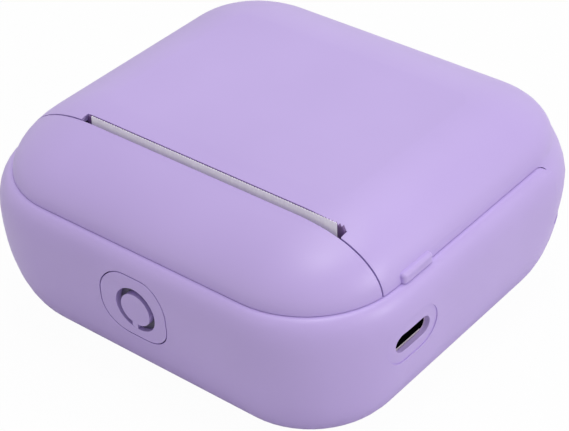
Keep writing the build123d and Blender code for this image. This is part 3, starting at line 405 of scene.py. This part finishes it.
def prism(outline, axis, start, end, rounds=None):
    # the outline's points are (y, z) for axis X and (x, z) for axis Y; rounds gives a radius by point
    bm = bmesh.new()
    spots = [(start, a, b) if axis == "X" else (a, start, b) for a, b in outline]
    verts = [bm.verts.new(spot) for spot in spots]
    bm.faces.new(verts)
    for index, radius in (rounds or {}).items():
        bmesh.ops.bevel(bm, geom=[verts[index]], offset=radius, offset_type="OFFSET", affect="VERTICES",
                        segments=meshing["arcSteps"], profile=0.5, material=-1)
    grown = bmesh.ops.extrude_face_region(bm, geom=list(bm.faces))
    moved = [v for v in grown["geom"] if isinstance(v, bmesh.types.BMVert)]
    vec = (end - start, 0, 0) if axis == "X" else (0, end - start, 0)
    bmesh.ops.translate(bm, verts=moved, vec=vec)
    bmesh.ops.recalc_face_normals(bm, faces=bm.faces)
    return bm


def roundedPrism(low, high, axis, start, end, radius):
    # a rectangle between two corners, all four of them rounded
    outline = [low, (high[0], low[1]), high, (low[0], high[1])]
    return prism(outline, axis, start, end, {index: radius for index in range(4)})


def rod(axis, start, end, spot, radius, segments):
    bm = bmesh.new()
    bmesh.ops.create_cone(bm, cap_ends=True, segments=segments, radius1=radius, radius2=radius,
                          depth=end - start)
    middle = (start + end) / 2
    if axis == "X":
        matrix = Matrix.Translation((middle, *spot)) @ Matrix.Rotation(radians(90), 4, "Y")
    elif axis == "Y":
        matrix = Matrix.Translation((spot[0], middle, spot[1])) @ Matrix.Rotation(radians(-90), 4, "X")
    else:
        matrix = Matrix.Translation((*spot, middle))
    bmesh.ops.transform(bm, matrix=matrix, verts=bm.verts)
    return bm


# the curves of the outer form
def halfEllipse(value, span, reach):
    share = min(1.0, max(0.0, value / span))
    return reach * (1 - sqrt(1 - share**2))


def baseInset(height):
    return halfEllipse(form["baseRoundHeight"] - height, form["baseRoundHeight"], form["baseRoundWidth"])


def rimInsetAt(height):
    return halfEllipse(height - (form["seamHeight"] - form["rimHeight"]), form["rimHeight"], form["rimInset"])


def domeShare(height, base):
    share = min(1.0, max(0.0, (height - base) / (form["bodyHeight"] - base)))
    return 1 - (1 - share ** form["domePower"]) ** (1 / form["domePower"])


def plan(side, front, rear, height, skin):
    share = (height - form["rearTaperLow"]) / (form["rearTaperHigh"] - form["rearTaperLow"])
    share = min(1.0, max(0.0, share))
    rearCorner = form["rearCornerLow"] + share * (form["rearCornerHigh"] - form["rearCornerLow"])
    radii = (
        max(form["frontCorner"] - min(side, front) - skin, form["leastCorner"]),
        max(rearCorner - min(side, rear) - skin, form["leastCorner"]),
    )
    low = (-halfWidth + side + skin, -halfDepth + front + skin)
    high = (halfWidth - side - skin, halfDepth - rear - skin)
    return low, high, radii


def casePlan(height, skin):
    inset = baseInset(height) + rimInsetAt(height)
    return plan(inset, inset, baseInset(height), height, skin)


def domePlan(height, skin):
    share = domeShare(height, form["seamHeight"])
    rearBase = form["seamHeight"] - form["rearDomeDrop"]
    side = form["rimInset"] + form["domeSide"] * share
    front = form["rimInset"] + form["domeFront"] * share
    return plan(side, front, form["domeRear"] * domeShare(height, rearBase), height, skin)


def skirtPlan(height, skin):
    if height >= form["seamHeight"]:
        return domePlan(height, skin)
    share = max(0.0, (height - form["baseRoundHeight"]) / (form["seamHeight"] - form["baseRoundHeight"]))
    rearBase = form["seamHeight"] - form["rearDomeDrop"]
    sink = form["skirtSink"] * min(1.0, (form["seamHeight"] - height) / form["skirtSinkOver"])
    side = baseInset(height) + form["rimInset"] * share**2 + sink
    rear = baseInset(height) + form["domeRear"] * domeShare(height, rearBase)
    return plan(side, side, rear, height, skin)


def roundSteps(count):
    return [pi / 2 * step / count for step in range(count + 1)]


def baseHeights():
    turns = roundSteps(form["baseSteps"])
    return [form["baseRoundHeight"] * (1 - cos(turn)) + form["skin"] for turn in turns]


def rimHeights(count):
    shoulder = form["seamHeight"] - form["rimHeight"]
    return [shoulder + form["rimHeight"] * sin(turn) for turn in roundSteps(count)]


def domeHeights(count, top):
    low = form["seamHeight"]
    return [low + (top - low) * sin(turn) ** (2 / form["domePower"]) for turn in roundSteps(count)]


def outerSolid(skin):
    # the case's outer form, solid, for cuts that follow the curved wall
    return bridged([(casePlan(height, skin), height) for height in baseHeights() + rimHeights(9)])


cover = {"outerSteps": 16, "innerSteps": 8, "innerLift": 0.1, "leastStrip": 1.0,
         "skirtSteps": (1.3, 2.7, 4.2, 6.0, 8.0, 10.0, 12.2)}


def coverRings(sectionAt, bottom):
    # for the nose and the lid: top, down the outside, under the edge and up the inside
    skin, wall, low = form["skin"], form["lidWall"], form["seamHeight"]
    outer = reversed(domeHeights(cover["outerSteps"], form["bodyHeight"] - skin))
    rings = [(sectionAt(height, skin), height) for height in outer]
    below = [low - step for step in cover["skirtSteps"] if low - step > bottom + cover["leastStrip"]]
    if bottom < low:
        rings += [(sectionAt(height, skin), height) for height in below + [bottom]]
        rings += [(sectionAt(height, wall), height) for height in [bottom] + below[::-1]]
    # the first inner ring is lifted a little, because bridging two loops at one height can cross them
    inner = [low + cover["innerLift"]] + domeHeights(cover["innerSteps"], form["bodyHeight"] - wall)[1:]
    return rings + [(sectionAt(height, wall), height) for height in inner]


# the rib stiffens the nose's edge along the paper slot
nose = {"ribWall": 1.4, "ribDrop": 4.0, "ribSink": 0.3, "ribSteps": 10}


def buildNose():
    far = form["far"]
    split = -form["noseSplit"]
    sink = nose["ribSink"]
    rib = block((-form["slotLeft"], split - nose["ribWall"], form["bodyHeight"] - nose["ribDrop"]),
                (form["slotRight"], split, far))
    heights = domeHeights(nose["ribSteps"], form["bodyHeight"] - sink)
    rib = carved(rib, bridged([(domePlan(height, sink), height) for height in heights]), "INTERSECT")
    bm = bridged(coverRings(domePlan, form["seamHeight"]))
    bm = carved(bm, block((-far, split, -far), (far, far, far)))
    bm = carved(bm, block((-far, -far, -far), (far, far, form["seamHeight"] + form["seamGap"])))
    bm = carved(bm, rib, "UNION")
    softened(bm, form["edge"], segments=3)
    return weighted(toPiece("noseCover", bm, "lilac", "case", "nose_cap"))


tab = {"y": -14.4, "length": 7.8, "height": 1.7, "proud": 0.72, "sunk": 1.6, "round": 0.66, "corner": 0.7}
hinge = {"pinRadius": 1.0, "pinClear": 0.02, "pinHalf": 19.7, "pinEdge": 0.15, "bore": 1.05, "ear": 4.0,
         "earFront": 0.5, "earSink": 0.03, "coveSide": 16.3, "coveRadius": 3.2, "coveLow": 6.3,
         "webTop": 15.0, "webSink": 0.05, "webGap": 0.01}
carrierPost = {"xs": (-16.0, 3.4, 22.8), "y": -10.6, "low": 32.2, "radius": 2.2, "hole": 0.8,
               "intoRoof": 0.4, "roofLeft": 0.6}


def liftTab():
    x = halfWidth - form["rimInset"]
    low = form["seamHeight"] + form["seamGap"]
    high = low + tab["height"]
    side = tab["length"] / 2
    bm = block((x - tab["sunk"], tab["y"] - side, low), (x + tab["proud"], tab["y"] + side, high))
    corners = [e for e in bm.edges if e.verts[0].co.x > x and e.verts[1].co.x > x
               and abs(e.verts[0].co.z - e.verts[1].co.z) > tab["height"] / 2]
    rounded(bm, corners, tab["corner"], 6)
    rim = [e for e in bm.edges if all(v.co.z > high - 0.01 for v in e.verts)]
    return rounded(bm, rim, tab["round"], 5)


def belowLid():
    # side view of what the lid leaves to the case: below the seam and in front of the skirt
    far = form["far"]
    seam = form["seamHeight"] + form["seamGap"]
    split = form["skirtSplit"]
    clear = form["barrelRadius"] + form["hingeGap"]
    low = form["hingeHeight"] + clear
    back = form["hingeY"] + clear
    outline = [(-far, -far), (-far, seam), (split, seam), (split, low), (back, low), (back, -far)]
    rounds = {2: form["skirtCorner"], 3: form["skirtLowCorner"], 4: clear}
    return prism(outline, "X", -far, far, rounds)


def hingeWeb():
    # sloping wall between the barrel and the rear of the lid
    thick, low, top = form["lidWall"], form["hingeHeight"], hinge["webTop"]
    back = form["hingeY"] + form["barrelRadius"]
    rear = halfDepth - baseInset(top) - hinge["webSink"]
    half = form["barrelHalf"] - hinge["webGap"]
    return prism([(back - thick, low), (back, low), (rear, top), (rear - thick, top)], "X", -half, half)


def buildLid():
    far = form["far"]
    front = -form["noseSplit"] + form["slotGap"]
    slotBack = form["slotDepth"] - form["noseSplit"]
    bm = bridged(coverRings(skirtPlan, form["hingeHeight"] + form["skirtRearRise"]))
    bm = carved(bm, belowLid())
    bm = carved(bm, block((-far, -far, -far), (far, front, far)))
    bm = carved(bm, block((-form["slotLeft"], -far, form["seamHeight"]), (form["slotRight"], slotBack, far)))
    softened(bm, form["edge"], segments=3)
    half = form["barrelHalf"]
    bm = carved(bm, rod("X", -half, half, axle, form["barrelRadius"], sides["large"]), "UNION")
    bm = carved(bm, hingeWeb(), "UNION")
    bm = carved(bm, rod("X", -far, far, axle, hinge["bore"], sides["small"]))
    bm = carved(bm, liftTab(), "UNION")
    post = carrierPost
    roof = form["bodyHeight"] - form["lidWall"] + post["intoRoof"]
    posts = [rod("Z", post["low"], roof, (x, post["y"]), post["radius"], sides["medium"]) for x in post["xs"]]
    bm = carved(bm, joined(posts), "UNION")
    top = roof - post["roofLeft"]
    holes = [rod("Z", post["low"] - 1, top, (x, post["y"]), post["hole"], sides["tiny"]) for x in post["xs"]]
    bm = carved(bm, joined(holes))
    return weighted(toPiece("lidCover", bm, "lilac", "lid", "lid_shell"))


tub = {"lipRound": 0.3, "lipDrop": 0.04, "lipFall": 0.4, "lipSteps": 3, "shoulderSteps": 16, "rimClear": 0.004,
       "cutReach": 6.0, "rearEdge": 0.35, "rearEdgeFrom": 18.0,
       "innerHeights": (24.5, 22.0, 19.6, 16.5, 13.5, 10.5, 7.5, 5.0, 3.2, 2.2)}
port = {"y": -18.6, "z": 18.1, "width": 8.8, "height": 3.5, "edge": 0.16, "pocket": 4.0,
        "ringWidth": 12.6, "ringHeight": 8.0, "ringDepth": 0.2, "ringEdge": 0.18, "ringReach": 1.2,
        "wallFrom": 39.6, "near": 0.1}
plate = {"x": 0.58, "z": 17.57, "width": 14.1, "height": 12.3, "corner": 5.2, "back": 3.4, "edge": 0.1,
         "edgeTo": 0.3, "gap": 0.19, "seatShort": 0.05, "seatEdge": 0.08, "wallTo": -36.0, "near": 0.3,
         "flange": 1.4, "flangeWall": 0.7, "flangeCorner": 4.4}
foot = {"x": 26.0, "y": 25.0, "radius": 3.75, "round": 0.45, "seat": 1.2, "seatGap": 0.05, "glue": 0.03,
        "recess": 2.1, "recessLow": 0.5, "recessTop": 2.4, "hole": 1.0, "post": 3.0, "postSunk": 0.3,
        "postTop": 6.0}
footSpots = [(x, y) for x in (-foot["x"], foot["x"]) for y in (-foot["y"], foot["y"])]


def caseRings():
    # bottom, up the outside, over the rounded lip and down the inside to the floor
    skin, wall, seam = form["skin"], form["caseWall"], form["seamHeight"]
    rings = [(casePlan(height, skin), height) for height in baseHeights()]
    # the shoulder is a quarter ellipse that runs flush into the covers
    steps = tub["shoulderSteps"]
    for turn, height in zip(roundSteps(steps), rimHeights(steps)):
        inset = form["rimInset"] * (1 - cos(turn))
        rings.append((plan(inset, inset, 0.0, height, skin), height))
    for turn in roundSteps(tub["lipSteps"]):
        section = casePlan(seam - tub["lipRound"], wall - tub["lipRound"] * cos(turn))
        rings.append((section, seam - tub["lipDrop"] - tub["lipFall"] * (1 - cos(turn))))
    return rings + [(casePlan(height, wall), height) for height in tub["innerHeights"]]


def aboveCase():
    # side view of what the case leaves to the lid
    far, gap = form["far"], form["seamGap"]
    front = form["skirtSplit"] - gap
    reach = front - tub["cutReach"]
    clear = form["barrelRadius"] + form["hingeGap"] - gap
    low = form["hingeHeight"] + clear
    back = form["hingeY"] + clear
    top = form["seamHeight"] + tub["rimClear"]
    outline = [(front, low), (back, low), (back, form["hingeHeight"]), (far, form["hingeHeight"]), (far, far),
               (reach, far), (reach, top), (front, top)]
    rounds = {0: form["skirtLowCorner"], 1: clear, 7: form["skirtCorner"]}
    return prism(outline, "X", -far, far, rounds)


def obround(width, height, start, end):
    # slot with round ends, across the port's axis
    side, half = width / 2, height / 2
    y, z = port["y"], port["z"]
    return roundedPrism((y - side, z - half), (y + side, z + half), "X", start, end, half - 0.001)


def plateBlock(grow, start, end):
    side, half = plate["width"] / 2 + grow, plate["height"] / 2 + grow
    x, z = plate["x"], plate["z"]
    return roundedPrism((x - side, z - half), (x + side, z + half), "Y", start, end, plate["corner"] + grow)


def hingeEars():
    y, z = axle
    radius = form["barrelRadius"]
    ears = []
    for side in (-1, 1):
        near = side * hinge["coveSide"]
        left, right = sorted((near, near + side * hinge["ear"]))
        stand = block((left, y - radius, form["caseWall"]), (right, y + hinge["earFront"], z))
        ears.append(carved(rod("X", left, right, axle, radius, sides["ear"]), stand, "UNION"))
    return carved(joined(ears), outerSolid(form["skin"] + hinge["earSink"]), "INTERSECT")


def aroundPort(width, height):
    # picks the edges that an opening of this size has in the side wall
    def picks(edge):
        return all(v.co.x > port["wallFrom"] and abs(v.co.y - port["y"]) < width / 2 + port["near"]
                   and abs(v.co.z - port["z"]) < height / 2 + port["near"] for v in edge.verts)
    return picks


def aroundPlate(edge):
    return all(v.co.y < plate["wallTo"] and abs(v.co.x - plate["x"]) < plate["width"] / 2 + plate["near"]
               and v.co.y < -halfDepth + baseInset(v.co.z) + plate["near"] for v in edge.verts)


def footPocket(bm, radius, low, high):
    return carved(bm, joined([rod("Z", low, high, spot, radius, sides["medium"]) for spot in footSpots]))


def buildCase():
    far = form["far"]
    bm = bridged(caseRings())
    bm = carved(bm, aboveCase())
    softened(bm, tub["rearEdge"], angle=50.0, segments=3,
             where=lambda e: min(v.co.y for v in e.verts) > tub["rearEdgeFrom"])
    low = form["caseWall"] - foot["postSunk"]
    posts = [rod("Z", low, foot["postTop"], spot, foot["post"], sides["medium"]) for spot in footSpots]
    bm = carved(bm, joined(posts), "UNION")
    bm = carved(bm, hingeEars(), "UNION")
    # cove that the barrel turns in, and the pin's bore through both ears
    side = hinge["coveSide"]
    bm = carved(bm, block((-side, form["hingeY"], hinge["coveLow"]), (side, far, far)))
    bm = carved(bm, rod("X", -side, side, axle, hinge["coveRadius"], sides["large"]))
    end = side + hinge["ear"]
    bm = carved(bm, rod("X", -end, end, axle, hinge["pinRadius"], sides["small"]))
    # under each foot its seat, the recess of the screw's head and the screw's hole
    bm = footPocket(bm, foot["radius"] + foot["seatGap"], -2.0, foot["seat"])
    bm = footPocket(bm, foot["recess"], foot["recessLow"], foot["recessTop"])
    bm = footPocket(bm, foot["hole"], foot["recessLow"], foot["postTop"] + 1)
    # shallow ring, then the port itself and the seat of the button's plate
    reach = port["ringReach"]
    ring = obround(port["ringWidth"], port["ringHeight"], halfWidth - reach, halfWidth + reach)
    bm = carved(bm, carved(ring, outerSolid(form["skin"] + port["ringDepth"])))
    nearRing = aroundPort(port["ringWidth"], port["ringHeight"])
    softened(bm, port["ringEdge"], segments=4, where=lambda e: e.is_convex and nearRing(e))
    bm = carved(bm, obround(port["width"], port["height"], halfWidth - port["pocket"], halfWidth + 2.0))
    bm = carved(bm, plateBlock(plate["gap"], -halfDepth - 2.0, -halfDepth + plate["back"] - plate["seatShort"]))
    softened(bm, port["edge"], where=aroundPort(port["width"], port["height"]))
    softened(bm, plate["seatEdge"], where=aroundPlate)
    return weighted(toPiece("caseTub", bm, "lilac", "case", "lower_case"))


button = {"x": 1.08, "outer": 4.2, "inner": 3.1, "disc": 1.4, "edge": 0.13, "clear": 0.06,
          "tongueWidth": 1.2, "tongueHalf": 0.7, "tongueSunk": 0.4, "tongueBearing": 100.0, "tongueGap": 0.3,
          "stem": 1.0, "stemSunk": 0.3, "stemEnd": 4.4, "ringFront": 1.3, "ringBack": 2.8,
          "cutAhead": 1.0, "cutBehind": 8.0, "openReach": 8.0, "openHalf": 4.0}


def buildButton():
    # plate flush with the curved wall
    x, z = button["x"], plate["z"]
    outer, inner, clear = button["outer"], button["inner"], button["clear"]
    front = -halfDepth
    back = front + plate["back"]
    bm = carved(plateBlock(0, front, back), outerSolid(form["skin"]), "INTERSECT")
    through = ("Y", front - button["cutAhead"], front + button["cutBehind"], (x, z), outer, sides["fine"])
    bm = carved(bm, rod(*through))
    shown = back - plate["edgeTo"]
    softened(bm, plate["edge"], segments=3, where=lambda e: all(v.co.y < shown for v in e.verts))
    side, half = plate["width"] / 2 + plate["flange"], plate["height"] / 2 + plate["flange"]
    flange = roundedPrism((plate["x"] - side, z - half), (plate["x"] + side, z + half), "Y",
                          back, back + plate["flangeWall"], plate["flangeCorner"])
    flange = carved(flange, rod(*through))
    weighted(toPiece("buttonPlate", carved(bm, flange, "UNION"), "lilac", "case", "button_plate"))

    # disc on its tongue inside the ring slot
    disc = rod("Y", front, front + button["disc"], (x, z), inner, sides["fine"])
    wide, deep = button["tongueWidth"] / 2, button["tongueHalf"]
    tongue = block((inner - button["tongueSunk"], -deep, -wide), (outer - clear, deep, wide))
    turn = Matrix.Translation((x, front + deep, z)) @ Matrix.Rotation(radians(button["tongueBearing"]), 4, "Y")
    bmesh.ops.transform(tongue, matrix=turn, verts=tongue.verts)
    disc = carved(carved(disc, tongue, "UNION"), outerSolid(form["skin"]), "INTERSECT")
    softened(disc, button["edge"], segments=3)
    start = front + button["disc"] - button["stemSunk"]
    stem = rod("Y", start, front + button["stemEnd"], (x, z), button["stem"], sides["small"])
    weighted(toPiece("powerButton", carved(disc, stem, "UNION"), "lilac", "button", "power_button"))

    # dark guide at the bottom of the slot, open where the tongue passes
    start, end = front + button["ringFront"], front + button["ringBack"]
    ring = rod("Y", start, end, (x, z), outer - clear, sides["fine"])
    ring = carved(ring, rod("Y", front, front + 4, (x, z), inner + clear, sides["fine"]))
    wide += button["tongueGap"]
    reach, deep = button["openReach"], button["openHalf"]
    opening = block((0, -deep, -wide), (reach, deep, wide))
    bmesh.ops.transform(opening, matrix=turn, verts=opening.verts)
    weighted(toPiece("lightRing", carved(ring, opening), "guide", "case", "light_ring"))


def buildFeet():
    low, high = -form["footProud"] + 0.002, foot["seat"] - foot["glue"]
    bm = joined([rod("Z", low, high, spot, foot["radius"], sides["large"]) for spot in footSpots])
    softened(bm, foot["round"], segments=4, where=lambda e: all(v.co.z < 0 for v in e.verts))
    return weighted(toPiece("rubberFeet", bm, "footRubber", "case", "rubber_feet"))


paper = {"left": -23.1, "right": 29.9, "shownRight": 29.1, "top": 36.75, "front": -24.0, "back": -20.0,
         "pitch": 0.55, "depth": 0.16, "foothold": 0.01, "tipShort": 0.02, "cutBeyond": 2.0, "cutHigh": 3.0,
         "trimBack": 10.0, "trimTop": 40.0}


def buildPaper():
    # the strip keeps its path; its upper edge is torn along the serrated bar
    bm = fromNode("paper_web")
    top, low = paper["top"], paper["top"] - paper["depth"]
    outline = []
    for step in range(int((paper["right"] - paper["left"]) / paper["pitch"]) + 1):
        start = paper["left"] + step * paper["pitch"]
        outline += [(start - paper["foothold"], low), (start + paper["pitch"] / 2, top - paper["tipShort"])]
    left, right = outline[0][0] - paper["cutBeyond"], outline[-1][0] + paper["cutBeyond"]
    high = low + paper["cutHigh"]
    outline += [(right, low), (right, high), (left, high), (left, low)]
    bm = carved(bm, prism(outline, "Y", paper["front"], paper["back"]))
    spare = block((paper["shownRight"], paper["front"], 0.0),
                  (paper["right"] + paper["cutBeyond"], paper["trimBack"], paper["trimTop"]))
    bm = carved(bm, spare)
    return toPiece("paperStrip", bm, "paper", "case", "paper_web")


roll = {"y": 6.0, "z": 16.3, "radius": 12.0, "core": 5.5, "bore": 4.0, "edge": 0.12}


def buildRoll():
    left, right = paper["left"], paper["right"]
    spot = (roll["y"], roll["z"])
    hollow = rod("X", left - 1, right + 1, spot, roll["core"], sides["fine"])
    bm = carved(rod("X", left, right, spot, roll["radius"], sides["finest"]), hollow)
    softened(bm, roll["edge"])
    weighted(toPiece("paperRoll", bm, "roll", "roll", "paper_roll"))
    hollow = rod("X", left - 1, right + 1, spot, roll["bore"], sides["fine"])
    bm = carved(rod("X", left, right, spot, roll["core"] - 0.01, sides["fine"]), hollow)
    softened(bm, roll["edge"])
    weighted(toPiece("rollCore", bm, "core", "roll", "roll_core"))


screw = {"low": 29.02, "high": 30.1, "head": 1.9, "edge": 0.2, "top": 33.5, "radius": 0.78,
         "crossShare": 0.62, "crossHalf": 0.17, "crossDepth": 0.55}


def screwFacingDown(x, y):
    low, high, thin = screw["low"], screw["high"], screw["crossHalf"]
    head = softened(rod("Z", low, high, (x, y), screw["head"], sides["medium"]), screw["edge"], segments=3)
    arm = screw["head"] * screw["crossShare"]
    for wide, deep in ((arm, thin), (thin, arm)):
        cross = block((x - wide, y - deep, low - 1), (x + wide, y + deep, low + screw["crossDepth"]))
        head = carved(head, cross)
    return carved(head, rod("Z", high - 0.1, screw["top"], (x, y), screw["radius"], sides["tiny"]), "UNION")


def buildScrews():
    bm = joined([screwFacingDown(x, carrierPost["y"]) for x in carrierPost["xs"]])
    return weighted(toPiece("carrierScrews", bm, "steel", "lid", "carrier_screws"))


def buildPin():
    half, radius = hinge["pinHalf"], hinge["pinRadius"] - hinge["pinClear"]
    bm = rod("X", -half, half, axle, radius, sides["small"])
    softened(bm, hinge["pinEdge"])
    return weighted(toPiece("hingePin", bm, "steel", "case", "hinge_pin"))


def buildSpring():
    # the frame's own leaf spring, whose tongues press the head, copied from its node and left without a body
    bm = fromNode("head_spring")
    bmesh.ops.remove_doubles(bm, verts=bm.verts, dist=0.001)
    spring = weighted(toPiece("headSpring", bm, "steel", None, "head_spring"))
    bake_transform(spring)


tear = {"left": -24.7, "right": 30.15, "pitch": 0.72, "tooth": 0.8, "tip": 35.95, "blade": 0.5, "back": -21.0,
        "ledge": 1.0, "low": 32.2, "foot": 33.2}


def buildTearBar():
    # serrated strip behind the paper, in lilac darkened as painted shade of the notch it sits in
    left, front, back = tear["left"], tear["back"] - tear["blade"], tear["back"]
    valley = tear["tip"] - tear["tooth"]
    count = int((tear["right"] - left) / tear["pitch"])
    outline = [(left, tear["foot"])]
    for step in range(count):
        start = left + step * tear["pitch"]
        outline += [(start, valley), (start + tear["pitch"] / 2, tear["tip"])]
    end = left + count * tear["pitch"]
    outline += [(end, valley), (end, tear["foot"])]
    blade = prism(outline, "Y", front, back - 0.02)
    base = block((left, front, tear["low"]), (end, back + tear["ledge"], tear["foot"]))
    return weighted(toPiece("tearBar", carved(blade, base, "UNION"), "paintedShadeLilac", "lid", "tear_bar"))


# the lip's glow colour and strength paint a highlight; the lip is no lamp
lip = {"outer": (8.94, 3.26), "inner": (8.3, 2.62), "back": 1.3, "front": 1.21, "rimDepth": 0.02,
       "glow": (0.8, 0.76, 0.78, 1), "strength": 0.25}


def dressSocket():
    # steel, painted paler on its rim and outside as a painted highlight, and painted dark inside as painted
    # shade
    mesh = nodes["usb_socket"].data
    mesh.materials.clear()
    for finish in ("paintedHighlightSteel", "paintedShadeSteel"):
        mesh.materials.append(finishes[finish].material)
    y, z = port["y"] * mm, (port["z"] + form["footProud"]) * mm
    rim = max(v.co.x for v in mesh.vertices)
    for face in mesh.polygons:
        outward = face.normal.y * (face.center.y - y) + face.normal.z * (face.center.z - z)
        behind = rim - face.center.x > lip["rimDepth"] * mm
        face.material_index = 1 if behind and (outward < 0 or abs(face.normal.x) > 0.9) else 0


def buildSocketLip():
    # the socket's rolled front edge is a fine line, pale and glowing as a painted highlight where the opening
    # keeps lamp light off it
    outside = obround(*lip["outer"], halfWidth - lip["back"], halfWidth - lip["front"])
    inside = obround(*lip["inner"], halfWidth - 2.0, halfWidth)
    toPiece("socketLipPaintedHighlight", carved(outside, inside), "lipPaintedHighlight", "case")
    shader = finishes["lipPaintedHighlight"].shader
    # emission paints the lip's highlight
    shader.inputs["Emission Color"].default_value = lip["glow"]
    shader.inputs["Emission Strength"].default_value = lip["strength"]


worn = {"width": 0.12, "angle": 40,
        "names": ("chassis", "platen_carrier", "head_frame", "gear_plate", "main_board", "motor", "heat_sink")}


def wearEdges():
    # inner pieces that stay as the frame has them
    for name in worn["names"]:
        modifier = nodes[name].modifiers.new("edges", "BEVEL")
        modifier.width = worn["width"] * mm
        modifier.segments = 2
        modifier.limit_method = "ANGLE"
        modifier.angle_limit = radians(worn["angle"])
        weighted(nodes[name])


buildCase()
buildNose()
buildLid()
print("shells built")
buildButton()
buildFeet()
buildPaper()
buildRoll()
buildScrews()
buildPin()
buildSpring()
buildTearBar()
print("small pieces built")
dressSocket()
buildSocketLip()
wearEdges()
print("socket and inner edges finished")

# the studio, in metres and watts
lamps = {
    "topSoft": {"place": (0.02, 0.18, 0.78), "target": (0, 0, 0.02), "size": 0.6, "power": 1.76},
    "noseGlint": {"place": (0.078, -0.040, 0.80), "target": (0.02, -0.02, 0.03), "size": 0.14, "power": 0.68},
    "rightSoft": {"place": (0.72, 0.22, 0.36), "target": (0, 0, 0.02), "size": 0.36, "power": 1.65},
    "frontFill": {"place": (-0.35, -0.7, 0.35), "target": (0, 0, 0.02), "size": 0.5, "power": 0.18},
}
backdrop = {"ambient": 0.475, "seen": 1.0, "floorHalf": 3.0, "floorTone": 0.80, "floorRoughness": 0.9,
            "floorSeen": 0.97}
view = {"azimuth": 40.23, "elevation": 35.82, "roll": 2.48, "focal": 1811.1, "photoWidth": 569,
        "sensor": 36.0, "place": (0.1683, -0.1990, 0.2015)}


def aimLamp(name, place, target, size, power):
    lamp = bpy.data.lights.new(name, "AREA")
    lamp.shape = "DISK"
    lamp.size = size
    lamp.energy = power
    holder = linked(bpy.data.objects.new(name, lamp))
    holder.location = place
    direction = Vector(target) - Vector(place)
    holder.rotation_euler = direction.to_track_quat("-Z", "Y").to_euler()


def backdropRays(tree, *others):
    # 1 for the rays that should meet a white background
    path = tree.nodes.new("ShaderNodeLightPath")
    rays = path.outputs["Is Camera Ray"]
    for name in others:
        either = tree.nodes.new("ShaderNodeMath")
        either.operation = "MAXIMUM"
        tree.links.new(rays, either.inputs[0])
        tree.links.new(path.outputs[name], either.inputs[1])
        rays = either.outputs[0]
    return rays


def setStudio():
    scene = bpy.context.scene
    scene.view_settings.view_transform = "Standard"
    world = bpy.data.worlds.new("studio")
    scene.world = world
    world.use_nodes = True
    tree = world.node_tree
    background = tree.nodes["Background"]
    background.inputs["Color"].default_value = (1, 1, 1, 1)
    strength = tree.nodes.new("ShaderNodeMapRange")
    strength.inputs["To Min"].default_value = backdrop["ambient"]
    strength.inputs["To Max"].default_value = backdrop["seen"]
    rays = backdropRays(tree, "Is Glossy Ray", "Is Transmission Ray")
    tree.links.new(rays, strength.inputs["Value"])
    tree.links.new(strength.outputs["Result"], background.inputs["Strength"])
    for name, lamp in lamps.items():
        aimLamp(name, **lamp)


def layFloor():
    bm = bmesh.new()
    bmesh.ops.create_grid(bm, x_segments=8, y_segments=8, size=backdrop["floorHalf"])
    mesh = bpy.data.meshes.new("paleFloor")
    bm.to_mesh(mesh)
    bm.free()
    sheet = linked(bpy.data.objects.new("paleFloor", mesh))
    material = bpy.data.materials.new("paleFloor")
    material.use_nodes = True
    tree = material.node_tree
    shader = tree.nodes["Principled BSDF"]
    tone = backdrop["floorTone"]
    shader.inputs["Base Color"].default_value = (tone, tone, tone, 1)
    shader.inputs["Roughness"].default_value = backdrop["floorRoughness"]
    glow = tree.nodes.new("ShaderNodeEmission")
    scale = tree.nodes.new("ShaderNodeMath")
    scale.operation = "MULTIPLY"
    scale.inputs[1].default_value = backdrop["floorSeen"]
    # mirrored rays keep the floor as it is lit, in the object's own shade
    tree.links.new(backdropRays(tree, "Is Transmission Ray"), scale.inputs[0])
    mix = tree.nodes.new("ShaderNodeMixShader")
    tree.links.new(scale.outputs[0], mix.inputs[0])
    tree.links.new(shader.outputs[0], mix.inputs[1])
    tree.links.new(glow.outputs[0], mix.inputs[2])
    tree.links.new(mix.outputs[0], tree.nodes["Material Output"].inputs["Surface"])
    mesh.materials.append(material)


def placeCamera():
    data = bpy.data.cameras.new("camera")
    data.sensor_width = view["sensor"]
    data.lens = view["sensor"] * view["focal"] / view["photoWidth"]
    data.clip_start = 0.01
    holder = linked(bpy.data.objects.new("camera", data))
    turn = Matrix.Rotation(radians(view["azimuth"]), 4, "Z")
    turn = turn @ Matrix.Rotation(radians(90 - view["elevation"]), 4, "X")
    turn = turn @ Matrix.Rotation(-radians(view["roll"]), 4, "Z")
    holder.matrix_world = Matrix.Translation(view["place"]) @ turn
    bpy.context.scene.camera = holder


setStudio()
layFloor()
placeCamera()
print("studio set:", len(lamps), "lamps")
